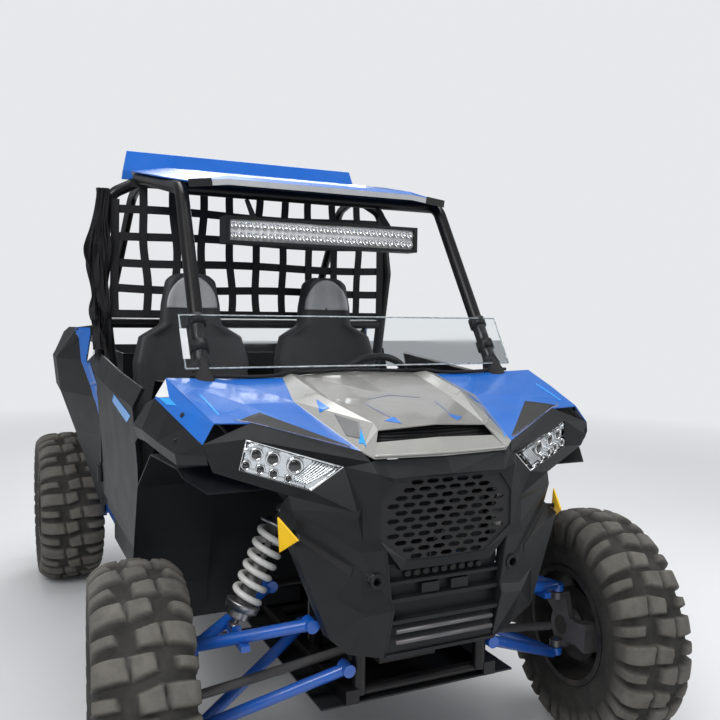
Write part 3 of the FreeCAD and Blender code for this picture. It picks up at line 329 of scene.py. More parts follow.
# Finishes by material slot, with what differs from the usual. The first four take a setting's colour
PAINT = dict(roughness=0.3, coat=0.6, depth=0.00003)
FILM = dict(roughness=0.35, coat=0.4, depth=0.00003, dust=0.04)
FINISHES = {
    "body_blue": dict(PAINT, coat=0.35, dust=0.05, mottle=0.05),
    "frame_blue": dict(roughness=0.35, coat=0.5, depth=0.00005, mottle=0.08),
    "hood_silver": dict(PAINT, roughness=0.33, metallic=0.35, dust=0.06, mottle=0.05),
    "dark_plastic": dict(roughness=0.45, dust=0.03, specular=0.3),
    "black_tube": dict(colour=(0.006, 0.006, 0.007), roughness=0.34, coat=0.1, depth=0.00004, dust=0.02,
                       specular=0.3),
    "tyre_rubber": dict(colour=(0.045, 0.041, 0.037), roughness=0.8, depth=0.0006, scale=500.0, dust=0.75,
                        mottle=0.2),
    "rim_black": dict(colour=(0.03, 0.03, 0.033), roughness=0.4, metallic=0.6, depth=0.0001, dust=0.3),
    "knuckle_metal": dict(colour=(0.16, 0.16, 0.17), roughness=0.45, metallic=0.8, depth=0.0003, dust=0.4),
    "bare_steel": dict(colour=(0.42, 0.42, 0.43), roughness=0.35, metallic=1.0, depth=0.0001),
    "webbing": dict(colour=(0.010, 0.010, 0.012), roughness=0.85, depth=0.0004, scale=700.0, dust=0.05),
    "seat_cover": dict(colour=(0.030, 0.031, 0.034), roughness=0.6, depth=0.0003, dust=0.1),
    "amber": dict(colour=(1.0, 0.56, 0.02), roughness=0.3, coat=0.6, depth=0.0001, dust=0.05),
    "red_lens": dict(colour=(0.45, 0.01, 0.01), roughness=0.2, coat=0.8, depth=0.0001, dust=0.05),
    "engine_grey": dict(colour=(0.12, 0.12, 0.125), roughness=0.55, metallic=0.5, depth=0.0004, dust=0.3),
    "hood_pale": dict(PAINT, colour=(0.36, 0.36, 0.34), metallic=0.25, dust=0.05, mottle=0.05),
    "insert_dark": dict(colour=(0.006, 0.006, 0.007), roughness=0.55, scale=700.0, dust=0.02),
    "line_lilac": dict(FILM, colour=(0.20, 0.21, 0.36)),
    "graphic_white": dict(FILM, colour=(0.62, 0.63, 0.64)),
    "graphic_grey": dict(FILM, colour=(0.16, 0.16, 0.16)),
    "graphic_blue": dict(PAINT, colour=(0.008, 0.16, 0.60), dust=0.04),
    "graphic_light_blue": dict(PAINT, colour=(0.02, 0.32, 0.85), dust=0.03),
    "chrome": dict(colour=(0.78, 0.79, 0.80), roughness=0.09, metallic=1.0, depth=0.00001, dust=0.02,
                   mottle=0.02, variation=0.02),
    "lens_dark": dict(colour=(0.010, 0.011, 0.013), roughness=0.08, coat=1.0, depth=0.00001, dust=0.0,
                      variation=0.02),
    "cap_silver": dict(colour=(0.38, 0.39, 0.40), roughness=0.55, dust=0.05),
    "shock_white": dict(colour=(0.62, 0.62, 0.60), roughness=0.35, coat=0.3, depth=0.00008, mottle=0.08),
}


def tread_rubber(values):
    """Tyre rubber: dusty grey-brown on the lugs, and darker between them as painted shade in the grooves, by
    the tread's own attribute.
    """
    material = finish("tyre_tread", **values)
    tree = material.node_tree
    shader = next(n for n in tree.nodes if n.type == "BSDF_PRINCIPLED")
    raised = add(tree, "Attribute", attribute_name="raised").outputs["Fac"]
    worn = spread(tree, noise(tree, object_place(tree), 16.0, 6.0, 0.65), 0.3, 0.75)
    top = blend(tree, worn, (0.072, 0.068, 0.060), (0.140, 0.132, 0.116))
    # Painted shade: the colour between the lugs is darkened to stand for the shade in the grooves
    foot = blend(tree, worn, (0.014, 0.014, 0.013), (0.040, 0.037, 0.033))
    join(tree, blend(tree, raised, foot, top), shader.inputs["Base Color"])
    return material


def make_finishes(settings):
    """Every material by its slot's name."""
    grain_group()
    dust_group()
    rows = {name: dict(values) for name, values in FINISHES.items()}
    for name in ("body_blue", "frame_blue", "hood_silver", "dark_plastic"):
        rows[name]["colour"] = tuple(getattr(settings, name))
    made = {name: finish(name, **values) for name, values in rows.items()}
    made["tyre_tread"] = tread_rubber(rows["tyre_rubber"])
    made["screen_edge"] = edge_plastic()
    made["screen_clear"] = clear("screen_clear", (0.92, 0.95, 0.96), 1.2, 6.0, 5.0, (0.02, 0.12))
    made["lamp_glass"] = clear("lamp_glass", (0.95, 0.97, 0.98), 1.3, 9.0, 3.0, (0.0, 0.06))
    made["lamp_lens"] = made["lamp_glass"]
    return made


# Mesh helpers

def new_mesh(name, points, faces):
    """A mesh from an array of points and an array or list of faces."""
    mesh = bpy.data.meshes.new(name)
    mesh.from_pydata(np.asarray(points, dtype=float).reshape(-1, 3), [], [tuple(f) for f in faces])
    mesh.update()
    return mesh


def body_of(node):
    """The body that a frame node rides on."""
    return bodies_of(NODES[node])[0]


def dress(name, mesh, material, like, replaces=(), smooth=True):
    """Links a mesh as a piece that rides with the frame node it is like."""
    piece = bpy.data.objects.new(name, mesh)
    bpy.context.scene.collection.objects.link(piece)
    mesh.materials.clear()
    mesh.materials.append(FINISH[material])
    mesh.polygons.foreach_set("use_smooth", np.full(len(mesh.polygons), smooth))
    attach(piece, body_of(like))
    if replaces:
        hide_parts(*replaces)
    return piece


def outward(mesh):
    """Turns every face of a closed mesh to point outward."""
    work = bmesh.new()
    work.from_mesh(mesh)
    bmesh.ops.recalc_face_normals(work, faces=work.faces)
    work.to_mesh(mesh)
    work.free()


def facing(mesh, away):
    """Turns the faces of an open mesh to look along a direction."""
    for polygon in mesh.polygons:
        if polygon.normal.dot(away) < 0:
            polygon.flip()


def baked(piece):
    """The piece with its modifiers worked into its mesh."""
    graph = bpy.context.evaluated_depsgraph_get()
    mesh = bpy.data.meshes.new_from_object(piece.evaluated_get(graph))
    piece.modifiers.clear()
    piece.data = mesh
    return piece


def rounded(piece, width, angle=None):
    """The piece with its sharp edges rounded. An angle says from where an edge counts as sharp."""
    edges = piece.modifiers.new("edges", "BEVEL")
    edges.width = width
    edges.segments = 2
    if angle is not None:
        edges.limit_method = "ANGLE"
        edges.angle_limit = angle
    return baked(piece)


def walled(piece, thickness, offset=-1.0):
    """An open piece with a wall, inward of its faces or outward of them."""
    wall = piece.modifiers.new("wall", "SOLIDIFY")
    wall.thickness = thickness
    wall.offset = offset
    return baked(piece)


def solid(name, part, material, like, replaces=(), smooth=True):
    """A closed piece from a (points, faces) pair."""
    mesh = new_mesh(name, *part)
    outward(mesh)
    return dress(name, mesh, material, like, replaces, smooth)


def plate(name, part, material, like, thickness):
    """A thin piece from an open (points, faces) pair."""
    return walled(dress(name, new_mesh(name, *part), material, like), thickness)


def grid_faces(rows, columns, wrap_rows=False, wrap_columns=False):
    """Four-cornered faces of a grid of rows by columns points, optionally closed either way."""
    i = np.arange(rows if wrap_rows else rows - 1)
    j = np.arange(columns if wrap_columns else columns - 1)
    i, j = np.meshgrid(i, j, indexing="ij")
    n, m = (i + 1) % rows, (j + 1) % columns
    quads = np.stack([i * columns + j, i * columns + m, n * columns + m, n * columns + j], axis=-1)
    return quads.reshape(-1, 4)


def capped(points):
    """A closed (points, faces) pair from rings of points, (rings, points round, 3), with flat ends."""
    rings, sides = points.shape[:2]
    faces = [tuple(reversed(f)) for f in grid_faces(rings, sides, wrap_columns=True)]
    last = (rings - 1) * sides
    faces += [tuple(range(sides)), tuple(last + k for k in reversed(range(sides)))]
    return points.reshape(-1, 3), faces


def joined(parts):
    """One set of points and faces from several (points, faces) pairs."""
    points, faces, start = [], [], 0
    for p, f in parts:
        points.append(np.asarray(p, dtype=float).reshape(-1, 3))
        faces.extend([tuple(int(k) + start for k in face) for face in f])
        start += len(points[-1])
    return np.concatenate(points), faces


def mirror(part):
    """The twin of a (points, faces) pair across the middle plane, its faces turned to stay outward."""
    points, faces = part
    flipped = np.asarray(points, dtype=float).reshape(-1, 3) * (-1.0, 1.0, 1.0)
    return flipped, [tuple(reversed(tuple(f))) for f in faces]


def pair(part):
    return joined([part, mirror(part)])


def unit(vectors):
    """Vectors in an array's rows, or one vector, made 1 long."""
    return vectors / np.linalg.norm(vectors, axis=-1, keepdims=True)


def circle(sides, first, second):
    """Points round a circle of radius 1 that two directions span."""
    turn = np.arange(sides) * 2 * math.pi / sides
    return np.cos(turn)[:, None] * first[..., None, :] + np.sin(turn)[:, None] * second[..., None, :]


def tube(path, radius, sides=12):
    """A round tube: a circle of the given radius carried along the path, with flat ends."""
    path = np.asarray(path, dtype=float)
    ahead = unit(np.gradient(path, axis=0))
    helper = np.array([0.0, 0.0, 1.0]) if abs(ahead[:, 2]).mean() < 0.8 else np.array([0.0, 1.0, 0.0])
    side = unit(np.cross(ahead, helper))
    return capped(path[:, None, :] + radius * circle(sides, side, np.cross(side, ahead)))


def lathe(foot, head, profile, sides=28):
    """A turned shape: (share along the line from foot to head, radius) pairs carried round that line."""
    foot, head = np.asarray(foot, dtype=float), np.asarray(head, dtype=float)
    share, radius = np.asarray(profile, dtype=float).T[:, :, None, None]
    way = unit(head - foot)
    helper = np.array([0.0, 1.0, 0.0]) if abs(way[1]) < 0.9 else np.array([1.0, 0.0, 0.0])
    side = unit(np.cross(way, helper))
    return capped(foot + share * (head - foot) + radius * circle(sides, side, np.cross(side, way)))


def strap(path, across, width, thick):
    """A flat strap: a thin rectangle carried along the path, its width along a fixed direction."""
    path = np.asarray(path, dtype=float)
    ahead = unit(np.gradient(path, axis=0))
    across = np.broadcast_to(np.asarray(across, dtype=float), path.shape)
    across = unit(across - (across * ahead).sum(axis=1)[:, None] * ahead)
    wide, deep = across * width / 2, np.cross(ahead, across) * thick / 2
    corners = [path - wide - deep, path + wide - deep, path + wide + deep, path - wide + deep]
    return capped(np.stack(corners, axis=1))


def bolts(places, way, radius, height):
    """Hexagon heads on washers, turned about one direction, at each place."""
    rise = np.asarray(way, dtype=float) * height
    profile = [(share, width * radius) for share, width in
               ((0.0, 1.5), (0.3, 1.5), (0.3, 1.0), (0.9, 1.0), (1.0, 0.85))]
    return joined([lathe(place, np.asarray(place) + rise, profile, 6) for place in places])


def smooth_line(points, count):
    """A smooth path: corners cut off three times over, then spread evenly along its length."""
    line = np.asarray(points, dtype=float)
    for _ in range(3):
        near = 0.75 * line[:-1] + 0.25 * line[1:]
        far = 0.25 * line[:-1] + 0.75 * line[1:]
        inner = np.stack([near, far], axis=1).reshape(-1, 3)
        line = np.concatenate([line[:1], inner, line[-1:]])
    step = np.concatenate([[0.0], np.cumsum(np.linalg.norm(np.diff(line, axis=0), axis=1))])
    even = np.linspace(0.0, step[-1], count)
    return np.stack([np.interp(even, step, line[:, k]) for k in range(3)], axis=1)


def across_middle(line):
    """A line given from the left side to the middle plane, carried on to the right side."""
    return line + [(-x, y, z) for x, y, z in reversed(line[:-1])]


def refined(node, width):
    """A copy of a frame node with its loose triangles merged, flat faces joined and edges rounded."""
    mesh = NODES[node].data.copy()
    work = bmesh.new()
    work.from_mesh(mesh)
    bmesh.ops.remove_doubles(work, verts=work.verts, dist=0.00002)
    bmesh.ops.dissolve_limit(work, angle_limit=math.radians(1.0), verts=work.verts, edges=work.edges)
    work.to_mesh(mesh)
    work.free()
    piece = dress(node + "_shell", mesh, SLOTS[node], node, [node], smooth=False)
    return rounded(piece, width, math.radians(22.0))


def flat_grid(corners, count=20):
    """A grid over four flat corners: each point is the corners blended by its two shares."""
    a, b, c, d = (np.asarray(p, dtype=float) for p in corners)
    u, v = np.meshgrid(np.linspace(0, 1, count), np.linspace(0, 1, count), indexing="ij")
    u, v = u[..., None], v[..., None]
    points = (1 - u) * ((1 - v) * a + v * b) + u * ((1 - v) * d + v * c)
    return points.reshape(-1, points.shape[-1]), grid_faces(count, count)


def both_sides(shapes):
    """Shapes of (x, y) corners on the left side, each with its twin."""
    return [twin for shape in shapes for twin in (shape, [(-x, y) for x, y in shape])]


def decal(name, shapes, material, carrier, axis="Z", side=1):
    """Thin stickers: flat four-cornered shapes laid down along an axis on to the carrier's surface."""
    column = "XYZ".index(axis)
    start = (side * BESIDE, BEFORE, ABOVE)[column]
    grids = [flat_grid(corners) for corners in shapes]
    mesh = new_mesh(name, *joined([(np.insert(flat, column, start, axis=1), faces) for flat, faces in grids]))
    away = Vector((0.0, 0.0, 0.0))
    away[column] = math.copysign(1.0, start)
    facing(mesh, away)
    return lay_down(dress(name, mesh, material, carrier), NODES[carrier], axis, start < 0, STICKER_LIFT,
                    STICKER_WALL)


def lay_down(piece, target, axis, forward, lift, thick):
    """Lays an open piece down along an axis on to the target's surface, leaves out the points that
    missed it, and gives the piece a thin wall."""
    lay = piece.modifiers.new("lay", "SHRINKWRAP")
    lay.wrap_method = "PROJECT"
    lay.target = target
    lay.use_project_x, lay.use_project_y, lay.use_project_z = (axis == letter for letter in "XYZ")
    lay.use_positive_direction, lay.use_negative_direction = forward, not forward
    lay.wrap_mode = "ABOVE_SURFACE"
    lay.offset = lift
    start = np.empty(len(piece.data.vertices) * 3)
    piece.data.vertices.foreach_get("co", start)
    baked(piece)
    ended = np.empty_like(start)
    piece.data.vertices.foreach_get("co", ended)
    missed = np.abs(ended - start).reshape(-1, 3).max(axis=1) < 0.001
    work = bmesh.new()
    work.from_mesh(piece.data)
    work.verts.ensure_lookup_table()
    bmesh.ops.delete(work, geom=[work.verts[int(k)] for k in np.nonzero(missed)[0]], context="VERTS")
    work.to_mesh(piece.data)
    work.free()
    return walled(piece, thick, 1.0)


def on_wheel(part, side, front):
    """A part made about the origin for a left-hand wheel, moved to its own wheel. A front one is turned
    with its wheel to the resting steer about the kingpin."""
    points, faces = part if side > 0 else mirror(part)
    axle = -HALF_BASE if front else HALF_BASE
    points = points + (side * (FRONT_REACH if front else REAR_REACH), axle, TYRE_RADIUS)
    if front:
        cosine, sine = math.cos(REST_STEER), math.sin(REST_STEER)
        x, y = points[:, 0] - side * KINGPIN_X, points[:, 1] - axle
        points = np.stack([side * KINGPIN_X + x * cosine - y * sine, axle + x * sine + y * cosine,
                           points[:, 2]], axis=1)
    return points, faces


# Operators

class UTV_OT_stage(bpy.types.Operator):
    """Lays the pale floor, the world and the lamps, and sets the camera to the photograph's view."""

    bl_idname = "utv.stage"
    bl_label = "Stage, lamps and camera"

    def execute(self, context):
        scene = context.scene
        scene.view_settings.view_transform = "Standard"
        self.floor(scene)
        self.world(scene)
        self.lamps(scene)
        self.camera(scene)
        return {"FINISHED"}

    def floor(self, scene):
        """A flat floor that fades to the world's pale colour far away, for the camera alone."""
        mesh = bpy.data.meshes.new("floor")
        corners = [(x * FLOOR_HALF, y * FLOOR_HALF, 0) for x, y in ((-1, -1), (1, -1), (1, 1), (-1, 1))]
        mesh.from_pydata(corners, [], [(0, 1, 2, 3)])
        piece = bpy.data.objects.new("floor", mesh)
        scene.collection.objects.link(piece)
        material = bpy.data.materials.new("floor")
        tree, shader = tree_of(material)
        place = object_place(tree)
        patches = spread(tree, noise(tree, place, 0.6, 5.0), 0.3, 0.7)
        join(tree, blend(tree, patches, (0.66, 0.67, 0.68), (0.70, 0.70, 0.71)), shader.inputs["Base Color"])
        length = add(tree, "VectorMath", operation="LENGTH")
        join(tree, place, length.inputs[0])
        far = spread(tree, length.outputs["Value"], 2.6, 8.5)
        seen = maths(tree, "MULTIPLY", far, add(tree, "LightPath").outputs["Is Camera Ray"])
        pale = add(tree, "Emission", {"Color": PALE, "Strength": 1.0})
        output = next(n for n in tree.nodes if n.type == "OUTPUT_MATERIAL")
        mix_shaders(tree, seen, shader.outputs["BSDF"], pale.outputs[0], output)
        shader.inputs["Roughness"].default_value = 0.55
        mesh.materials.append(material)

    def world(self, scene):
        """Pale where the camera sees it, less bright as light, and dimmer still where it is mirrored."""
        world = bpy.data.worlds.new("pale_room")
        world.use_nodes = True
        tree = world.node_tree
        tree.nodes.clear()
        path = add(tree, "LightPath").outputs
        seen = maths(tree, "MAXIMUM", path["Is Camera Ray"], path["Is Transmission Ray"])
        lit = add(tree, "Background", {"Color": (0.95, 0.97, 1.0, 1.0)})
        mirrored = maths(tree, "MULTIPLY", path["Is Glossy Ray"], WORLD_MIRRORED - WORLD_LIGHT)
        join(tree, maths(tree, "ADD", mirrored, WORLD_LIGHT), lit.inputs["Strength"])
        shown = add(tree, "Background", {"Color": PALE, "Strength": 1.0})
        mix_shaders(tree, seen, lit.outputs[0], shown.outputs[0], add(tree, "OutputWorld"))
        scene.world = world

    def lamps(self, scene):
        for name, place, size, power in LAMPS:
            data = bpy.data.lights.new(name, "AREA")
            data.size = size
            data.energy = power
            lamp = bpy.data.objects.new(name, data)
            lamp.location = place
            lamp.rotation_euler = (LAMP_AIM - Vector(place)).to_track_quat("-Z", "Y").to_euler()
            scene.collection.objects.link(lamp)

    def camera(self, scene):
        """Columns of the camera's matrix are its right, its up and the way back."""
        ahead = Vector((math.sin(CAMERA_YAW) * math.cos(CAMERA_PITCH),
                        math.cos(CAMERA_YAW) * math.cos(CAMERA_PITCH), -math.sin(CAMERA_PITCH)))
        level = Vector((math.cos(CAMERA_YAW), -math.sin(CAMERA_YAW), 0.0))
        upright = level.cross(ahead)
        right = math.cos(CAMERA_ROLL) * level + math.sin(CAMERA_ROLL) * upright
        above = math.cos(CAMERA_ROLL) * upright - math.sin(CAMERA_ROLL) * level
        data = bpy.data.cameras.new("camera")
        data.sensor_width = SENSOR_WIDTH
        data.lens = FOCAL_PIXELS / FRAME_PIXELS * SENSOR_WIDTH
        data.clip_end = 200.0
        camera = bpy.data.objects.new("camera", data)
        turn = Matrix((right, above, -ahead)).transposed()
        camera.matrix_world = Matrix.Translation(CAMERA_PLACE) @ turn.to_4x4()
        scene.collection.objects.link(camera)
        scene.camera = camera


class UTV_OT_finishes(bpy.types.Operator):
    """Gives every frame node the finish of its material slot."""

    bl_idname = "utv.finishes"
    bl_label = "Finishes of the frame"

    def execute(self, context):
        FINISH.update(make_finishes(context.scene.utv))
        for node, slot in SLOTS.items():
            NODES[node].data.materials.clear()
            NODES[node].data.materials.append(FINISH[slot])
        return {"FINISHED"}


# Tread blocks: a shift by a share of the pitch, and four corners in (distance round, distance across).
# EDGE stands for just past the tyre's edge
EDGE = None
BLOCKS = (
    (0.25, ((-0.026, 0.046), (0.028, 0.038), (0.033, EDGE), (-0.031, EDGE))),
    (0.25, ((-0.030, -0.016), (0.014, -0.022), (0.030, 0.030), (-0.026, 0.038))),
    (0.75, ((-0.013, 0.066), (0.015, 0.060), (0.020, EDGE), (-0.018, EDGE))),
)
BLOCK_WALL = 0.006
PITCHES = 16
BEAD_RADIUS = 0.1785


class UTV_OT_tyres(bpy.types.Operator):
    """Puts deep-lugged dusty tyres on the four wheels."""

    bl_idname = "utv.tyres"
    bl_label = "Tyres"

    def execute(self, context):
        for name, side, front in WHEELS:
            self.tyre(context.scene.utv, name, side, front)
        return {"FINISHED"}

    def section(self, half, count):
        """The carcass outline from bead to bead as (x, radius): a polyline through the bead, the bulging
        sidewall, the shoulder and the crown, with its corners rounded by a moving average."""
        x = np.array([half - d for d in (0.020, 0.006, 0.001, 0.004, 0.022, 0.052)] + [0.0])
        r = np.array([0.1925, 0.215, 0.245, 0.295, 0.334, 0.347, 0.3515])
        x, r = np.concatenate([-x, x[-2::-1]]), np.concatenate([r, r[-2::-1]])
        step = np.concatenate([[0.0], np.cumsum(np.hypot(np.diff(x), np.diff(r)))])
        even = np.linspace(0.0, step[-1], count)
        outline = np.stack([np.interp(even, step, x), np.interp(even, step, r)], axis=1)
        padded = np.pad(outline, ((4, 4), (0, 0)), mode="edge")
        kernel = np.ones(9) / 9
        return np.stack([np.convolve(padded[:, k], kernel, "valid") for k in (0, 1)], axis=1)

    def lugs(self, around, across, half, pitch):
        """Height share of the tread at each place: 1 inside any block, falling to 0 over its wall. The
        inside distance of a block is the smallest distance to its four sides. Fine cuts cross the
        middle."""
        height = np.zeros_like(around)
        for flip in (1, -1):
            for shift, corners in BLOCKS:
                block = [(x, half + 0.01 if y is EDGE else y) for x, y in corners]
                place = around * flip - shift * pitch
                place = (place + pitch / 2) % pitch - pitch / 2
                inside = np.ones_like(around)
                for (ax, ay), (bx, by) in zip(block, block[1:] + block[:1]):
                    length = math.hypot(bx - ax, by - ay)
                    distance = ((bx - ax) * (across * flip - ay) - (by - ay) * (place - ax)) / length
                    inside = np.minimum(inside, distance)
                height = np.maximum(height, np.clip(inside / BLOCK_WALL + 0.5, 0.0, 1.0))
        sipe = np.abs((around / pitch * 2 + 0.5) % 1.0 - 0.5) * pitch / 2
        cut = np.clip(1.0 - sipe / 0.003, 0.0, 1.0) * (np.abs(across) < 0.3 * half)
        return height - 0.22 * cut * height

    def tyre(self, settings, name, side, front):
        """The section's points moved out along its own normal by the lugs' height, turned round."""
        half = (FRONT_WIDTH if front else REAR_WIDTH) / 2
        rows, columns = 76, 544
        outline = self.section(half, rows)
        x, r = outline[:, :1], outline[:, 1:]
        along = np.gradient(outline, axis=0)
        out = unit(np.stack([-along[:, 1], along[:, 0]], axis=1))
        if out[rows // 2, 1] < 0:
            out = -out
        turn = (np.arange(columns) + 0.5) * 2 * math.pi / columns
        pitch = 2 * math.pi * TYRE_RADIUS / PITCHES
        around = np.tile(turn * TYRE_RADIUS, (rows, 1))
        across = np.tile(x, (1, columns))
        raised = self.lugs(around, across, half, pitch) * np.clip((r - 0.262) / 0.050, 0.0, 1.0)
        rib = 0.0022 * (np.abs(np.abs(r - 0.243) - 0.006) < 0.0025)
        lift = settings.lug_height * raised + rib
        new_x = np.clip(x + out[:, :1] * lift, -half + 0.0005, half - 0.0005)
        new_r = np.minimum(r + out[:, 1:] * lift, TYRE_RADIUS)
        bead_x = np.array([[-half + 0.02], [half - 0.02]]) + 0 * turn
        bead_r = np.full_like(bead_x, BEAD_RADIUS)
        x, r = (np.concatenate([e[:1], m, e[1:]]) for e, m in ((bead_x, new_x), (bead_r, new_r)))
        points = np.stack([x, r * np.sin(turn), -r * np.cos(turn)], axis=-1).reshape(-1, 3)
        faces = grid_faces(rows + 2, columns, wrap_rows=True, wrap_columns=True)
        mesh = new_mesh("tyre_" + name + "_tread", *on_wheel((points, faces), side, front))
        outward(mesh)
        # The lugs' height share, kept on the points; the tread's finish paints shade between the lugs from it
        shade = np.pad(raised, ((1, 1), (0, 0)))
        mesh.attributes.new("raised", "FLOAT", "POINT").data.foreach_set("value", shade.reshape(-1))
        dress("tyre_" + name + "_tread", mesh, "tyre_tread", "tyre_" + name, ["tyre_" + name])


class UTV_OT_wheels(bpy.types.Operator):
    """Adds the beadlock screws, wheel nuts and hub caps to the rims."""

    bl_idname = "utv.wheels"
    bl_label = "Wheel hardware"

    def ring(self, count, x, radius, first=0.0):
        """Places round the wheel's axis."""
        turn = np.arange(count) * 2 * math.pi / count + first
        return np.stack([np.full(count, x), radius * np.sin(turn), radius * np.cos(turn)], axis=1)

    def execute(self, context):
        for name, side, front in WHEELS:
            half = (FRONT_WIDTH if front else REAR_WIDTH) / 2
            cap = [(0.0, 0.036), (0.6, 0.036), (0.85, 0.030), (1.0, 0.012)]
            parts = [bolts(self.ring(18, half - 0.0135, 0.183), (1, 0, 0), 0.0042, 0.004),
                     bolts(self.ring(4, 0.0335, 0.060, math.pi / 4), (1, 0, 0), 0.009, 0.016),
                     lathe((0.033, 0, 0), (0.060, 0, 0), cap)]
            solid("wheel_screws_" + name, on_wheel(joined(parts), side, front), "bare_steel", "rim_" + name,
                  smooth=False)
        return {"FINISHED"}


# Shock absorbers on the left: foot, head, coil turns
SHOCKS = (((0.482, -1.131, 0.535), (0.345, -1.131, 0.840), 6),
          ((0.530, 0.800, 0.515), (0.470, 0.640, 0.880), 7))
# Body profile: radius at so many mm from the foot, at a share of the length, and at so many mm from the head
SHOCK_FOOT = ((2, 0.009), (26, 0.010), (27, 0.030), (30, 0.034), (33, 0.030), (36, 0.034), (39, 0.030),
              (42, 0.034), (45, 0.030), (48, 0.036), (50, 0.045), (66, 0.0475), (69, 0.0475), (70, 0.040),
              (70, 0.0235))
SHOCK_MIDDLE = ((0.55, 0.0235), (0.555, 0.020), (0.56, 0.009))
SHOCK_HEAD = ((66, 0.009), (66, 0.027), (46, 0.028), (44, 0.048), (37, 0.048), (36, 0.030), (20, 0.012),
              (2, 0.009))
SLEEVE_HALF = 0.0209
COIL_RADIUS = 0.0370
WIRE_RADIUS = 0.0088
COIL_LOW, COIL_SPAN = 0.0792, 0.1324


class UTV_OT_shocks(bpy.types.Operator):
    """Makes the shock absorbers, with round white coils over turned metal bodies."""

    bl_idname = "utv.shocks"
    bl_label = "Shock absorbers"

    def execute(self, context):
        bodies, coils = [], []
        sleeve = [(0, 0.011), (0.04, 0.013), (0.96, 0.013), (1, 0.011)]
        for foot, head, turns in SHOCKS:
            foot, head = np.array(foot), np.array(head)
            length = np.linalg.norm(head - foot)
            profile = [(mm * 0.001 / length, r) for mm, r in SHOCK_FOOT] + list(SHOCK_MIDDLE)
            profile += [(1 - mm * 0.001 / length, r) for mm, r in SHOCK_HEAD]
            bodies.append(lathe(foot, head, profile))
            for end in (foot, head):
                bodies.append(lathe(end - (0.0, SLEEVE_HALF, 0.0), end + (0.0, SLEEVE_HALF, 0.0), sleeve))
            coils.append(self.coil(foot, head, turns, length))
        solid("shock_bodies", pair(joined(bodies)), "bare_steel", "shocks", ["shocks"])
        solid("shock_coils", pair(joined(coils)), "shock_white", "shocks", ["shocks"])
        return {"FINISHED"}

    def coil(self, foot, head, turns, length):
        """A round wire on a helix: the centre runs round the line from foot to head at a set radius
        while it moves along it, its end turns flattened."""
        way = (head - foot) / length
        side = unit(np.cross(way, (0.0, 1.0, 0.0)))
        above = np.cross(way, side)
        share = np.linspace(0.0, 1.0, turns * 26 + 1)
        turn = 2 * math.pi * turns * share
        along = COIL_LOW + (length - COIL_SPAN) * (share + 0.04 * np.sin(2 * math.pi * share) / math.pi)
        ring = np.cos(turn)[:, None] * side + np.sin(turn)[:, None] * above
        return tube(foot + along[:, None] * way + COIL_RADIUS * ring, WIRE_RADIUS)


# The hood ribs' outer and inner edges on the left half, (x, y), between which the hood is pale
RIB_OUTER = np.array([(0.228, -1.375), (0.300, -1.085), (0.268, -0.905)])
RIB_INNER = np.array([(0.160, -1.345), (0.195, -1.098), (0.200, -0.872)])
# Stickers: name, finish, and each shape's four corners in (x, y) on the left half
HOOD_STICKERS = (
    ("hood_inset", "insert_dark", ((0.500, -1.232), (0.427, -1.172), (0.246, -1.352), (0.252, -1.358))),
    ("hood_inset_line", "line_lilac",
     ((0.512, -1.2225), (0.505, -1.2335), (0.250, -1.3605), (0.247, -1.3525))),
    ("hood_corner_pale", "graphic_white",
     ((0.622, -0.936), (0.657, -0.972), (0.652, -0.986), (0.630, -1.020))),
    ("hood_patch_light", "graphic_light_blue",
     ((0.651, -0.989), (0.630, -1.024), (0.622, -1.075), (0.640, -1.040)),
     ((0.560, -1.055), (0.553, -1.058), (0.540, -1.195), (0.545, -1.200)),
     ((0.545, -1.200), (0.538, -1.196), (0.470, -1.150), (0.475, -1.156))),
    ("hood_rib_blue", "graphic_blue", ((0.247, -1.122), (0.236, -1.190), (0.256, -1.188), (0.262, -1.183))),
    ("hood_rib_grey", "graphic_grey", ((0.236, -1.222), (0.199, -1.302), (0.216, -1.345), (0.238, -1.306))),
    ("hood_rib_light", "graphic_light_blue",
     ((0.201, -1.318), (0.205, -1.322), (0.212, -1.370), (0.224, -1.352))),
    ("hood_mid_blue", "graphic_blue", ((0.122, -1.292), (0.088, -1.274), (0.084, -1.284), (0.086, -1.324))),
    ("hood_mid_line", "line_lilac",
     ((0.1155, -1.160), (0.1105, -1.160), (0.0925, -1.272), (0.0975, -1.274)),
     ((0.0860, -1.119), (0.0820, -1.114), (0.0, -1.084), (0.0, -1.089))),
)
# The line along the hood's rear edge that the round seal follows, smoothed, from the left to the middle
COWL_LINE = [(0.545, -0.905, 1.192), (0.440, -0.893, 1.186), (0.300, -0.905, 1.184), (0.236, -0.888, 1.197),
             (0.195, -0.873, 1.190), (0.0, -0.803, 1.194)]
# The plate behind the slot
SLOT_CORNERS = ((-0.184, -1.345, 1.046), (0.184, -1.345, 1.046),
                (0.166, -1.318, 1.082), (-0.166, -1.318, 1.082))


